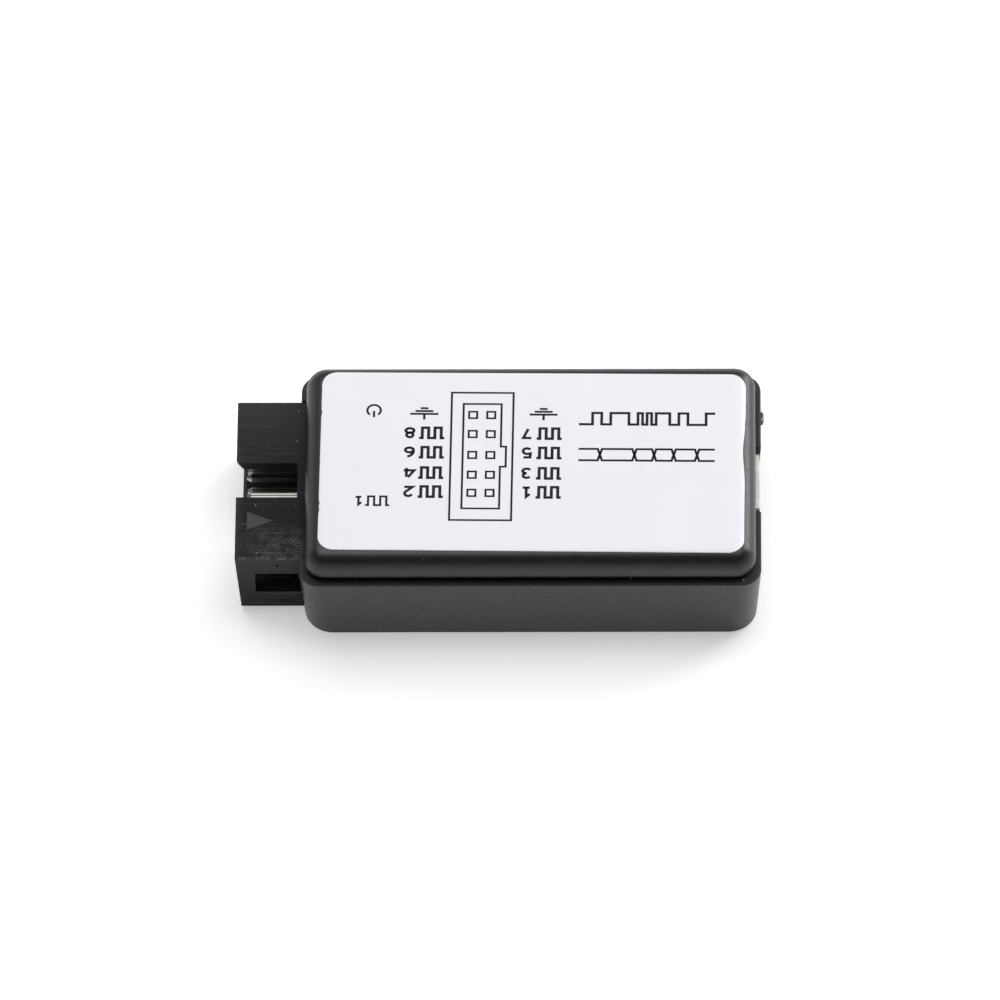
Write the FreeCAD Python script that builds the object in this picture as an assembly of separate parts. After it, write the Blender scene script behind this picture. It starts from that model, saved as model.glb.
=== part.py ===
import FreeCAD, Part
import math
import os

# Eight-channel USB logic analyzer: a clip-together plastic case round one circuit board,
# with a ten-pin box header at one end and a mini USB receptacle at the other.
# Millimetres. The origin is the centre of the face that the case stands on, +Z is up,
# +X points to the USB end and -X to the box header.

# ---- case ----
RIM_Z = 9.5                 # parting height: top of the lower case's wall
TOP_Z = 12.7                # outer face of the cover
RIM_LENGTH = 49.45
RIM_WIDTH = 27.8
RIM_CORNER = 2.2
BASE_CORNER = 3.1           # the corners grow rounder from the rim down to the base
DRAFT_INSET = 0.5           # how far each wall leans in from the rim down to the base
WALL = 1.5
FLOOR = 1.2
BASE_EDGE_RADIUS = 0.15
RIM_EDGE_RADIUS = 0.2
GATE_Y = 8.45               # stub left where the lower case was broken off its moulding runner
GATE_WIDTH = 1.2
GATE_HEIGHT = 0.9
GATE_STANDS = 0.3

# ---- cover ----
LEDGE = 0.6                 # rim left showing round the cover
COVER_CORNER = 2.25
COVER_TOP_RADIUS = 2.0
COVER_FOOT_RADIUS = 0.85
COVER_ROOF = 1.3
COVER_WALL = 1.6
LIP_DEPTH = 1.2             # the tongue that drops inside the lower case
LIP_THICKNESS = 0.9
LIP_GAP = 0.1

# ---- posts of the lower case and pegs of the cover ----
POST_X = 20.9
POST_Y = 10.6
POST_RADIUS = 1.4
POST_SHOULDER_RADIUS = 2.1
POST_TOP_Z = 8.0
PEG_RADIUS = 0.75
PEG_HOLE_RADIUS = 0.8
PEG_TIP_Z = 5.0
PEG_HOLE_FLOOR_Z = 4.0
PEG_GAP = 0.1

# ---- label ----
LABEL_LENGTH = 45.5
LABEL_WIDTH = 23.4
LABEL_CORNER = 1.7
LABEL_THICKNESS = 0.12
LABEL_SHIFT_X = 0.25
LABEL_TURN_DEG = -0.6       # stuck on slightly askew

# ---- box header, standard 2.54 mm ten-way ----
PITCH = 2.54
PINS_PER_ROW = 5
HEADER_WIDTH = 20.65
HEADER_HEIGHT = 8.85
HEADER_DEPTH = 9.05
HEADER_MOUTH_X = -31.55     # at the mouth's upper edge
HEADER_MOUTH_LEAN = 0.5     # the mouth's lower edge sits this far back
HEADER_Z0 = 0.6
HEADER_WALL = 1.2           # upper and lower walls; the end walls take what the cavity leaves
HEADER_EDGE_RADIUS = 0.15
HEADER_CAVITY_DEPTH = 6.55
HEADER_CAVITY_WIDTH = 17.92  # the width that a ten-way cable socket goes into
HEADER_SLOT_WIDTH = 4.5
HEADER_LEAD_IN = 0.8
HEADER_WINDOW_HEIGHT = 3.3
HEADER_WINDOW_START = 2.1   # from the mouth
HEADER_WINDOW_END = 7.9
HEADER_SLOT_CORNER_X = 0.86  # the slot's +Y corner at the mouth is rounded to an ellipse
HEADER_SLOT_CORNER_Y = 0.48
# Each end face has a pinhole near its top and a sloping nick near its foot.
PINHOLE_X = 4.55            # both are placed behind the mouth's upper edge
PINHOLE_Z = 8.15
PINHOLE_RADIUS = 0.17
PINHOLE_DEPTH = 0.2
NICK_X = 5.3
NICK_TOP_Z = 1.95
NICK_LENGTH = 1.3
NICK_HEIGHT = 0.5
NICK_DEPTH = 0.15
PIN_ONE_MARK_X = 1.2        # the triangle that marks pin 1: its base, behind the mouth
PIN_ONE_MARK_Y = -5.3
PIN_ONE_MARK_LENGTH = 2.8
PIN_ONE_MARK_WIDTH = 2.45
PIN_ONE_MARK_DEPTH = 0.1
PIN_SIDE = 0.64
PIN_TIP_SIDE = 0.3
PIN_TIP_TAPER = 0.5         # length of the taper at the mating tip
PIN_TAIL_TAPER = 0.15
PIN_RECESS = 1.0            # tip of the pin behind the mouth
PIN_LENGTH = 11.1
NOTCH_GAP = 0.08

# ---- circuit board ----
BOARD_THICKNESS = 1.6
BOARD_X0 = -22.4
BOARD_X1 = 22.6
BOARD_HALF_WIDTH = 11.95
BOARD_NOTCH_X = 19.3        # corner notches clear the posts
BOARD_NOTCH_Y = 9.0
BOARD_NOTCH_RADIUS = 1.2

# ---- mini USB receptacle ----
USB_Y = -0.45
USB_MOUTH_X = 24.55
USB_LENGTH = 9.2
USB_WIDTH = 7.7
USB_HEIGHT = 3.85
USB_SHEET = 0.3
USB_EDGE_RADIUS = 0.5
USB_NARROW_WIDTH = 6.3
USB_NOTCH_WIDTH = 8.6       # in the case's end wall, centred on it
USB_NOTCH_GAP = 0.2
USB_CONTACTS = 5
USB_CONTACT_PITCH = 0.8
USB_CONTACT_WIDTH = 0.36
USB_TAB_LENGTH = 1.5
USB_TAB_REACH = 1.1
USB_PEG_RADIUS = 0.4
USB_PEG_HOLE_RADIUS = 0.5

# ---- values that follow ----
COVER_LENGTH = RIM_LENGTH - 2 * LEDGE
COVER_WIDTH = RIM_WIDTH - 2 * LEDGE
HEADER_Z1 = HEADER_Z0 + HEADER_HEIGHT
HEADER_MID_Z = (HEADER_Z0 + HEADER_Z1) / 2
HEADER_BASE_X = HEADER_MOUTH_X + HEADER_DEPTH
HEADER_FLOOR_X = HEADER_MOUTH_X + HEADER_CAVITY_DEPTH
BOARD_Z0 = HEADER_MID_Z - BOARD_THICKNESS / 2
BOARD_Z1 = HEADER_MID_Z + BOARD_THICKNESS / 2
USB_TOP_Z = BOARD_Z1 + USB_HEIGHT
USB_BACK_X = USB_MOUTH_X - USB_LENGTH
PIN_TIP_X = HEADER_MOUTH_X + PIN_RECESS
PIN_TAIL_X = PIN_TIP_X + PIN_LENGTH
PAST = 2.0                  # how far a cutting tool runs past what it cuts


# ---------------------------------------------------------------- shape helpers
def vec(x, y, z):
    return FreeCAD.Vector(x, y, z)


def box(x0, x1, y0, y1, z0, z1):
    """A block between two opposite corners."""
    return Part.makeBox(x1 - x0, y1 - y0, z1 - z0, vec(x0, y0, z0))


def post(radius, x, y, z0, z1):
    """An upright cylinder."""
    return Part.makeCylinder(radius, z1 - z0, vec(x, y, z0))


def rounded_wire(length, width, radius, z):
    """A rectangle with rounded corners, centred on the Z axis, at height z."""
    a, b = length / 2, width / 2
    k = radius * (1 - math.sqrt(0.5))
    edges = []
    corners = [(a, b, 1, 1), (-a, b, -1, 1), (-a, -b, -1, -1), (a, -b, 1, -1)]
    starts = []
    for x, y, sx, sy in corners:
        flat_x = vec(x - sx * radius, y, z)
        flat_y = vec(x, y - sy * radius, z)
        middle = vec(x - sx * k, y - sy * k, z)
        first, last = (flat_y, flat_x) if sx * sy > 0 else (flat_x, flat_y)
        starts.append((first, middle, last))
    for i, (first, middle, last) in enumerate(starts):
        edges.append(Part.Arc(first, middle, last).toShape())
        edges.append(Part.LineSegment(last, starts[(i + 1) % 4][0]).toShape())
    return Part.Wire(edges)


def rounded_prism(length, width, radius, z0, z1):
    face = Part.Face(rounded_wire(length, width, radius, z0))
    return face.extrude(vec(0, 0, z1 - z0))


def tapered_prism(lower, upper):
    """A solid between two rounded rectangles, each (length, width, radius, z)."""
    return Part.makeLoft([rounded_wire(*lower), rounded_wire(*upper)], True, True)


def prism(points, run):
    """A closed polygon of vectors, extruded along the vector run."""
    return Part.Face(Part.makePolygon(points + [points[0]])).extrude(run)


def edges_at(shape, z):
    """The edges of a shape that lie wholly at height z."""
    return [e for e in shape.Edges if all(abs(v.Z - z) < 1e-6 for v in e.Vertexes)]


def long_edges(shape):
    """The edges of a shape that run along X."""
    return [e for e in shape.Edges
            if abs(e.Vertexes[0].X - e.Vertexes[-1].X) > 1
            and abs(e.Vertexes[0].Y - e.Vertexes[-1].Y) + abs(e.Vertexes[0].Z - e.Vertexes[-1].Z) < 1e-6]


def join(first, *others):
    return first.fuse(list(others)).removeSplitter() if others else first


def placed(shape, x, y, z, turn=0):
    """A copy turned about Z by turn degrees, then moved to x, y, z."""
    copy = shape.copy()
    copy.Placement = FreeCAD.Placement(vec(x, y, z), FreeCAD.Rotation(vec(0, 0, 1), turn))
    return copy


def export(name, solids):
    """Writes parts/NAME.step from one solid or a list of separate ones."""
    shape = Part.makeCompound(solids) if isinstance(solids, list) else solids
    for solid in shape.Solids:
        if not solid.isValid() or solid.Volume <= 0:
            raise ValueError(f"{name} holds a bad solid")
    shape.exportStep(f"parts/{name}.step")


def post_places():
    return [(sx * POST_X, sy * POST_Y) for sx in (-1, 1) for sy in (-1, 1)]


# ---------------------------------------------------------------- housing
def wall_inset_at(z):
    """How far the outer wall has leant in at height z."""
    return DRAFT_INSET * (RIM_Z - z) / RIM_Z


def case_outline(z, offset):
    """Length, width, corner radius and height of the lower case, offset inwards."""
    inset = wall_inset_at(z) + offset
    corner = max(BASE_CORNER + (RIM_CORNER - BASE_CORNER) * z / RIM_Z - offset, 0.6)
    return (RIM_LENGTH - 2 * inset, RIM_WIDTH - 2 * inset, corner, z)


def header_passage():
    """The notch that the box header fills in the end wall and the floor."""
    side = HEADER_WIDTH / 2 + NOTCH_GAP
    x1 = HEADER_BASE_X + 2 * NOTCH_GAP
    return box(-RIM_LENGTH / 2 - PAST, x1, -side, side, HEADER_Z0 - NOTCH_GAP, RIM_Z + PAST)


def usb_passage(z1):
    """The notch round the USB receptacle, up to height z1."""
    side = USB_NOTCH_WIDTH / 2
    x0 = BOARD_X1 - 2 * WALL
    return box(x0, RIM_LENGTH / 2 + PAST, -side, side, BOARD_Z1 - 0.1, z1)


def lower_case():
    shell = tapered_prism(case_outline(0, 0), case_outline(RIM_Z, 0))
    shell = shell.makeFillet(BASE_EDGE_RADIUS, edges_at(shell, 0))
    shell = shell.makeFillet(RIM_EDGE_RADIUS, edges_at(shell, RIM_Z))
    hollow = tapered_prism(case_outline(FLOOR, WALL), case_outline(RIM_Z, WALL))
    lid_off = rounded_prism(*case_outline(RIM_Z, WALL)[:3], RIM_Z, RIM_Z + PAST)
    shell = shell.cut([hollow, lid_off])
    posts = []
    for x, y in post_places():
        posts.append(post(POST_SHOULDER_RADIUS, x, y, FLOOR / 2, BOARD_Z0))
        posts.append(post(POST_RADIUS, x, y, FLOOR / 2, POST_TOP_Z))
    # The round posts are trimmed to the case's outline, where they run into its corners.
    inside = tapered_prism(case_outline(0, WALL / 2), case_outline(RIM_Z, WALL / 2))
    posts = [p.common(inside) for p in posts]
    ribs = board_ribs()
    holes = [post(PEG_HOLE_RADIUS, x, y, PEG_HOLE_FLOOR_Z, POST_TOP_Z + PAST)
             for x, y in post_places()]
    body = join(shell, gate_stub(), *posts, *ribs)
    return body.cut(holes + [header_passage(), usb_passage(RIM_Z + PAST)])


def gate_stub():
    """The broken stub of the moulding gate, just under the rim of the USB end."""
    x1 = RIM_LENGTH / 2 + GATE_STANDS
    z1 = RIM_Z - RIM_EDGE_RADIUS
    stub = box(x1 - 1.0, x1, GATE_Y - GATE_WIDTH / 2, GATE_Y + GATE_WIDTH / 2, z1 - GATE_HEIGHT, z1)
    outer = [e for e in stub.Edges if all(abs(v.X - x1) < 1e-6 for v in e.Vertexes)]
    return stub.makeChamfer(0.2, outer)


def board_ribs():
    """Low ribs on the floor that carry the middle of the board."""
    half_rib = 0.5
    reach = RIM_WIDTH / 2 - WALL / 2 - DRAFT_INSET
    inner = reach - 3.2
    ribs = []
    for x in (-8.0, 8.0):
        for side in (-1, 1):
            y0, y1 = sorted((side * inner, side * reach))
            ribs.append(box(x - half_rib, x + half_rib, y0, y1, FLOOR / 2, BOARD_Z0))
    return ribs


def cover():
    shell = rounded_prism(COVER_LENGTH, COVER_WIDTH, COVER_CORNER, RIM_Z, TOP_Z)
    shell = shell.makeFillet(COVER_TOP_RADIUS, edges_at(shell, TOP_Z))
    shell = shell.makeFillet(COVER_FOOT_RADIUS, edges_at(shell, RIM_Z))
    hollow = rounded_prism(COVER_LENGTH - 2 * COVER_WALL, COVER_WIDTH - 2 * COVER_WALL,
                           COVER_CORNER - COVER_WALL / 2, RIM_Z - PAST, TOP_Z - COVER_ROOF)
    shell = shell.cut(hollow)
    body = join(shell, lip(), *pegs())
    return body.cut([lip_gap_for_header(), usb_passage(USB_TOP_Z + USB_NOTCH_GAP)])


def lip():
    """The ring under the cover's wall that locates it inside the lower case."""
    length, width, corner, _ = case_outline(RIM_Z - LIP_DEPTH, WALL + LIP_GAP)
    z0 = RIM_Z - LIP_DEPTH
    z1 = RIM_Z + COVER_FOOT_RADIUS + 0.6
    outer = rounded_prism(length, width, corner, z0, z1)
    inner = rounded_prism(length - 2 * LIP_THICKNESS, width - 2 * LIP_THICKNESS,
                          0.6, z0 - PAST, z1 + PAST)
    return outer.cut(inner)


def lip_gap_for_header():
    side = HEADER_WIDTH / 2 + 2 * NOTCH_GAP
    return box(-RIM_LENGTH / 2, HEADER_BASE_X + 0.4, -side, side, RIM_Z - LIP_DEPTH - PAST, RIM_Z)


def pegs():
    """Four bosses under the roof, each with a peg that pushes into a post."""
    roof = TOP_Z - COVER_ROOF / 2
    made = []
    for x, y in post_places():
        made.append(post(POST_RADIUS, x, y, POST_TOP_Z + PEG_GAP, roof))
        peg = post(PEG_RADIUS, x, y, PEG_TIP_Z, roof)
        made.append(peg.makeChamfer(0.2, edges_at(peg, PEG_TIP_Z)))
    return made


def label():
    sheet = rounded_prism(LABEL_LENGTH, LABEL_WIDTH, LABEL_CORNER, 0, LABEL_THICKNESS)
    return placed(sheet, LABEL_SHIFT_X, 0, TOP_Z, LABEL_TURN_DEG)


# ---------------------------------------------------------------- box header
def header_shroud():
    half = HEADER_WIDTH / 2
    x0, x1 = HEADER_MOUTH_X, HEADER_BASE_X
    side = [vec(x0, -half, HEADER_Z1), vec(x1, -half, HEADER_Z1), vec(x1, -half, HEADER_Z0),
            vec(x0 + HEADER_MOUTH_LEAN, -half, HEADER_Z0)]
    body = prism(side, vec(0, HEADER_WIDTH, 0))
    body = body.makeFillet(HEADER_EDGE_RADIUS, long_edges(body))
    inner = HEADER_CAVITY_WIDTH / 2
    cavity = box(x0 - PAST, HEADER_FLOOR_X, -inner, inner,
                 HEADER_Z0 + HEADER_WALL, HEADER_Z1 - HEADER_WALL)
    cuts = [cavity, header_lead_in(), header_slot(), pin_one_mark()]
    z0, z1 = HEADER_MID_Z - HEADER_WINDOW_HEIGHT / 2, HEADER_MID_Z + HEADER_WINDOW_HEIGHT / 2
    for side in (-1, 1):
        y0, y1 = sorted((side * (inner - 0.1), side * (half + PAST)))
        cuts.append(box(x0 + HEADER_WINDOW_START, x0 + HEADER_WINDOW_END, y0, y1, z0, z1))
        foot = vec(x0 + PINHOLE_X, side * (half - PINHOLE_DEPTH), PINHOLE_Z)
        cuts.append(Part.makeCylinder(PINHOLE_RADIUS, PAST, foot, vec(0, side, 0)))
        cuts.append(end_face_nick(side))
    cuts += [pin_bores(z) for z in pin_heights()]
    return body.cut(cuts)


def end_face_nick(side):
    """A wedge that is deepest at its straight upper edge."""
    clear = 0.02            # keeps the wedge's outer face off the end face
    x0, z1 = HEADER_MOUTH_X + NICK_X - NICK_LENGTH / 2, NICK_TOP_Z
    y_out = side * (HEADER_WIDTH / 2 + clear)
    y_in = side * (HEADER_WIDTH / 2 - NICK_DEPTH)
    section = [vec(x0, y_out, z1), vec(x0, y_in, z1), vec(x0, y_out, z1 - NICK_HEIGHT)]
    return prism(section, vec(NICK_LENGTH, 0, 0))


def header_slot():
    """The polarizing slot in the upper wall, with one corner of its mouth rounded off."""
    half, rx, ry = HEADER_SLOT_WIDTH / 2, HEADER_SLOT_CORNER_X, HEADER_SLOT_CORNER_Y
    x0, z0, z1 = HEADER_MOUTH_X, HEADER_MID_Z, HEADER_Z1 + PAST
    slot = box(x0 - PAST, HEADER_FLOOR_X, -half, half, z0, z1)
    corner = box(x0 - PAST, x0 + rx, half - ry, half + ry, z0, z1)
    oval = Part.Ellipse(vec(x0 + rx, half + ry, z0), rx, ry).toShape()
    rounding = Part.Face(Part.Wire([oval])).extrude(vec(0, 0, z1 - z0))
    return slot.fuse(corner.cut(rounding))


def pin_one_mark():
    """A shallow triangle in the upper face, pointing at the case."""
    x0, y, half = HEADER_MOUTH_X + PIN_ONE_MARK_X, PIN_ONE_MARK_Y, PIN_ONE_MARK_WIDTH / 2
    z = HEADER_Z1 - PIN_ONE_MARK_DEPTH
    corners = [vec(x0, y - half, z), vec(x0 + PIN_ONE_MARK_LENGTH, y, z), vec(x0, y + half, z)]
    return prism(corners, vec(0, 0, PAST))


def header_lead_in():
    """The sloping flare just inside the mouth, cut as a frustum."""
    x0, lead = HEADER_MOUTH_X, HEADER_LEAD_IN
    half_y = HEADER_CAVITY_WIDTH / 2
    half_z = HEADER_HEIGHT / 2 - HEADER_WALL
    spread = HEADER_WALL - 0.25

    def ring(x, grow):
        y, z = half_y + grow, half_z + grow
        corners = [(-y, -z), (y, -z), (y, z), (-y, z), (-y, -z)]
        return Part.makePolygon([vec(x, a, HEADER_MID_Z + b) for a, b in corners])

    return Part.makeLoft([ring(x0, spread), ring(x0 + lead, 0.0)], True, True)


def pin_heights():
    return (HEADER_MID_Z + PITCH / 2, HEADER_MID_Z - PITCH / 2)


def pin_columns():
    return [(i - (PINS_PER_ROW - 1) / 2) * PITCH for i in range(PINS_PER_ROW)]


def pin_bores(z):
    """One row of plain square bars, which bore the shroud's floor for its pins."""
    half = PIN_SIDE / 2
    bars = [box(HEADER_FLOOR_X - PAST, HEADER_BASE_X + PAST, y - half, y + half, z - half, z + half)
            for y in pin_columns()]
    return Part.makeCompound(bars)


def pin_row(z):
    """A row of square pins, tapered at both ends."""
    stations = ((PIN_TIP_X, PIN_TIP_SIDE), (PIN_TIP_X + PIN_TIP_TAPER, PIN_SIDE),
                (PIN_TAIL_X - PIN_TAIL_TAPER, PIN_SIDE), (PIN_TAIL_X, PIN_TIP_SIDE))
    pins = []
    for y in pin_columns():
        rings = [square_wire(x, y, z, side) for x, side in stations]
        pins.append(Part.makeLoft(rings, True, True))
    return pins


def square_wire(x, y, z, side):
    h = side / 2
    corners = [(-h, -h), (h, -h), (h, h), (-h, h), (-h, -h)]
    return Part.makePolygon([vec(x, y + a, z + b) for a, b in corners])


def pin_solder():
    """A fillet of solder between each pin's tail and its pad on the board's face."""
    foot, crown = 0.68, 0.36
    x0, x1 = BOARD_X0 + 0.4, PIN_TAIL_X + 0.3
    fillets = []
    for z, face, up in ((pin_heights()[0], BOARD_Z1, 1), (pin_heights()[1], BOARD_Z0, -1)):
        for y in pin_columns():
            section = [vec(x0, y - foot, face), vec(x0, y + foot, face),
                       vec(x0, y + crown, z + up * 0.1), vec(x0, y - crown, z + up * 0.1)]
            bead = prism(section, vec(x1 - x0, 0, 0))
            half = PIN_SIDE / 2
            bar = box(x0 - PAST, PIN_TAIL_X, y - half, y + half, z - half, z + half)
            fillets += bead.cut(bar).Solids
    return fillets


# ---------------------------------------------------------------- circuit board
def circuit_board():
    board = box(BOARD_X0, BOARD_X1, -BOARD_HALF_WIDTH, BOARD_HALF_WIDTH, BOARD_Z0, BOARD_Z1)
    tools = []
    far = BOARD_X1 + PAST
    for sx in (-1, 1):
        for sy in (-1, 1):
            x0, x1 = sorted((sx * BOARD_NOTCH_X, sx * far))
            y0, y1 = sorted((sy * BOARD_NOTCH_Y, sy * (BOARD_HALF_WIDTH + PAST)))
            tool = box(x0, x1, y0, y1, BOARD_Z0 - PAST, BOARD_Z1 + PAST)
            inner = [e for e in tool.Edges
                     if all(abs(v.X - sx * BOARD_NOTCH_X) + abs(v.Y - sy * BOARD_NOTCH_Y) < 1e-6
                            for v in e.Vertexes)]
            tools.append(tool.makeFillet(BOARD_NOTCH_RADIUS, inner))
    tools += [post(USB_PEG_HOLE_RADIUS, x, y, BOARD_Z0 - PAST, BOARD_Z1 + PAST)
              for x, y in usb_peg_places()]
    return board.cut(tools)


# ---------------------------------------------------------------- mini USB receptacle
def usb_section(x, grow):
    """The receptacle's outline, wide above and pinched in below, grown by grow."""
    wide, narrow = USB_WIDTH / 2 + grow, USB_NARROW_WIDTH / 2 + grow
    z0, z1 = BOARD_Z1 - grow, USB_TOP_Z + grow
    step = BOARD_Z1 + USB_HEIGHT * 0.48
    right = [(narrow, z0), (narrow, step - 0.75 + grow), (wide, step + grow), (wide, z1)]
    outline = right + [(-y, z) for y, z in reversed(right)]
    return [vec(x, USB_Y + y, z) for y, z in outline]


def usb_tube(x0, x1, grow):
    return prism(usb_section(x0, grow), vec(x1 - x0, 0, 0))


def usb_peg_places():
    return [(USB_BACK_X + 3.0, USB_Y + side * 2.2) for side in (-1, 1)]


def usb_tab_places():
    """X and side of the four tabs that are soldered to the board."""
    return [(x, side) for x in (USB_BACK_X + 1.3, BOARD_X1 - 1.6) for side in (-1, 1)]


def usb_shell():
    outer = usb_tube(USB_BACK_X, USB_MOUTH_X, 0)
    top_edges = [e for e in outer.Edges if all(abs(v.Z - USB_TOP_Z) < 1e-6 for v in e.Vertexes)
                 and e.Vertexes[0].X != e.Vertexes[1].X]
    outer = outer.makeFillet(USB_EDGE_RADIUS, top_edges)
    inner = usb_tube(USB_BACK_X - PAST, USB_MOUTH_X + PAST, -USB_SHEET)
    tabs = []
    for x, side in usb_tab_places():
        y_in, y_out = USB_NARROW_WIDTH / 2 - 0.1, USB_WIDTH / 2 + USB_TAB_REACH
        y0, y1 = sorted((USB_Y + side * y_in, USB_Y + side * y_out))
        tabs.append(box(x - USB_TAB_LENGTH / 2, x + USB_TAB_LENGTH / 2, y0, y1,
                        BOARD_Z1, BOARD_Z1 + USB_SHEET))
    peg_ways = [post(USB_PEG_HOLE_RADIUS, x, y, BOARD_Z1 - PAST, BOARD_Z1 + USB_SHEET)
                for x, y in usb_peg_places()]
    shell = join(outer.cut(inner), *tabs)
    return shell.cut(peg_ways + spring_finger_slots())


def spring_finger_slots():
    """U-shaped slots that free two spring fingers in the roof of the shell."""
    slot, reach, width = 0.22, 3.6, 1.5
    x1 = USB_MOUTH_X - 1.6
    z0, z1 = USB_TOP_Z - USB_SHEET - 0.1, USB_TOP_Z + PAST
    cuts = []
    for side in (-1, 1):
        y = USB_Y + side * 1.9
        cuts.append(box(x1 - reach, x1, y - width / 2, y - width / 2 + slot, z0, z1))
        cuts.append(box(x1 - reach, x1, y + width / 2 - slot, y + width / 2, z0, z1))
        cuts.append(box(x1 - reach, x1 - reach + slot, y - width / 2, y + width / 2, z0, z1))
    return cuts


def usb_tongue_box():
    """The flat tongue inside the mouth: x0, x1, y0, y1, z0, z1."""
    half = 2.25
    z0 = BOARD_Z1 + 1.75
    return (USB_BACK_X + 1.5, USB_MOUTH_X - 1.7, USB_Y - half, USB_Y + half, z0, z0 + 0.8)


def usb_insulator():
    gap = 0.02
    block = usb_tube(USB_BACK_X + 0.2, USB_BACK_X + 2.2, -USB_SHEET - gap)
    tongue = box(*usb_tongue_box())
    feet = [post(USB_PEG_RADIUS, x, y, BOARD_Z0 + 0.5, BOARD_Z1 + USB_SHEET + 0.6)
            for x, y in usb_peg_places()]
    bridge = usb_tube(USB_BACK_X + 2.0, USB_BACK_X + 3.6, -USB_SHEET - gap)
    low = box(USB_BACK_X, USB_MOUTH_X, USB_Y - 5, USB_Y + 5, BOARD_Z1, BOARD_Z1 + 1.1)
    body = join(block, bridge.common(low), tongue, *feet)
    grooves = [usb_contact_bar(y) for y in usb_contact_columns()]
    return body.cut(grooves)


def usb_contact_columns():
    half = (USB_CONTACTS - 1) / 2
    return [USB_Y + (i - half) * USB_CONTACT_PITCH for i in range(USB_CONTACTS)]


def usb_contact_bar(y):
    """A strip along the top of the tongue, bent down behind the block to the board."""
    thick = 0.15
    _, tongue_x1, _, _, _, tongue_top = usb_tongue_box()
    x0, x1 = USB_BACK_X - 0.25, tongue_x1 - 0.3
    toe = x0 - 0.9
    foot = BOARD_Z1
    profile = [(x1, tongue_top), (x1, tongue_top - thick), (x0 + thick, tongue_top - thick),
               (x0 + thick, foot), (toe, foot), (toe, foot + thick), (x0, foot + thick),
               (x0, tongue_top)]
    half = USB_CONTACT_WIDTH / 2
    return prism([vec(x, y - half, z) for x, z in profile], vec(0, USB_CONTACT_WIDTH, 0))


def usb_tab_solder():
    """A low fillet along the outer end of each tab."""
    run = 0.5
    beads = []
    for x, side in usb_tab_places():
        y = USB_Y + side * (USB_WIDTH / 2 + USB_TAB_REACH)
        x0 = x - USB_TAB_LENGTH / 2
        section = [vec(x0, y, BOARD_Z1), vec(x0, y + side * run, BOARD_Z1),
                   vec(x0, y, BOARD_Z1 + USB_SHEET * 0.9)]
        beads.append(prism(section, vec(USB_TAB_LENGTH, 0, 0)))
    return beads


# ---------------------------------------------------------------- board components
# Each package is drawn about the origin on a board at Z = 0, long side along X, then placed.
def moulded_body(length, width, height, standoff):
    """A moulded package: widest at mid height, with a small dimple by its first pin."""
    taper = 0.12
    mid = standoff + (height - standoff) / 2
    wide = (length, width, 0.12, mid)
    low = (length - 2 * taper, width - 2 * taper, 0.12, standoff)
    high = (length - 2 * taper, width - 2 * taper, 0.12, height)
    body = join(tapered_prism(low, wide), tapered_prism(wide, high))
    dimple = post(min(0.5, width / 8), -length / 2 + 0.9, -width / 2 + 0.9, height - 0.08, height + PAST)
    return body.cut(dimple)


def gull_wing(exit_z, reach, thick, breadth):
    """One lead: leaves the body at Y = 0, drops, and ends in a foot on the board."""
    knee = reach * 0.3
    heel = reach * 0.48
    outline = [(0, exit_z - thick / 2), (knee - thick * 0.3, exit_z - thick / 2), (heel - thick, 0),
               (reach, 0), (reach, thick), (heel, thick), (knee + thick * 0.5, exit_z + thick / 2),
               (0, exit_z + thick / 2)]
    return prism([vec(-breadth / 2, y, z) for y, z in outline], vec(breadth, 0, 0))


def lead_sides(lead, width, count, pitch):
    """A copy of a lead at every place down both long sides of a package."""
    half = (count - 1) / 2
    leads = []
    for i in range(count):
        x = (i - half) * pitch
        leads.append(placed(lead, x, width / 2, 0))
        leads.append(placed(lead, x, -width / 2, 0, 180))
    return leads


def on_board(solids, x, y, turn):
    return [placed(Part.makeCompound([s]), x, y, BOARD_Z1, turn).Solids[0] for s in solids]


def leaded_chip(place, length, width, height, count, pitch, span, lead_breadth, lead_thick):
    """Body and leads of a dual-row package; place is x, y and turn in degrees."""
    standoff = 0.1
    body = moulded_body(length, width, height, standoff)
    exit_z = standoff + (height - standoff) / 2
    lead = gull_wing(exit_z, (span - width) / 2, lead_thick, lead_breadth)
    leads = lead_sides(lead, width, count, pitch)
    return on_board([body], *place), on_board(leads, *place)


def regulator():
    """Body, three leads on one side and the wide heat tab on the other."""
    place = (14.0, -8.0, 0)
    length, width, height, standoff, reach = 6.5, 3.5, 1.65, 0.05, 1.7
    body = moulded_body(length, width, height, standoff)
    exit_z = standoff + (height - standoff) / 2
    thin = gull_wing(exit_z, reach, 0.25, 0.7)
    tab = gull_wing(exit_z, reach, 0.25, 3.0)
    leads = [placed(thin, i * 2.3, -width / 2, 0, 180) for i in (-1, 0, 1)]
    leads.append(placed(tab, 0, width / 2, 0))
    return on_board([body], *place), on_board(leads, *place)


def crystal():
    """A low metal can on an insulating base, with a flat lead at each end."""
    place = (2.2, 8.6, 0)
    length, width, base_height, can_height = 11.4, 4.6, 0.7, 3.3
    base = rounded_prism(length, width, 0.8, 0.25, base_height)
    flange = rounded_prism(length - 0.1, width - 0.1, 2.2, base_height, base_height + 0.35)
    can = rounded_prism(length - 0.7, width - 0.7, 1.9, base_height + 0.2, can_height)
    can = can.makeFillet(0.5, edges_at(can, can_height))
    leads = []
    for side in (-1, 1):
        x0, x1 = sorted((side * (length / 2 - 2.6), side * (length / 2 + 0.6)))
        leads.append(box(x0, x1, -0.35, 0.35, 0, 0.25))
    return (on_board([join(flange, can)], *place), on_board([base], *place),
            on_board(leads, *place))


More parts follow.
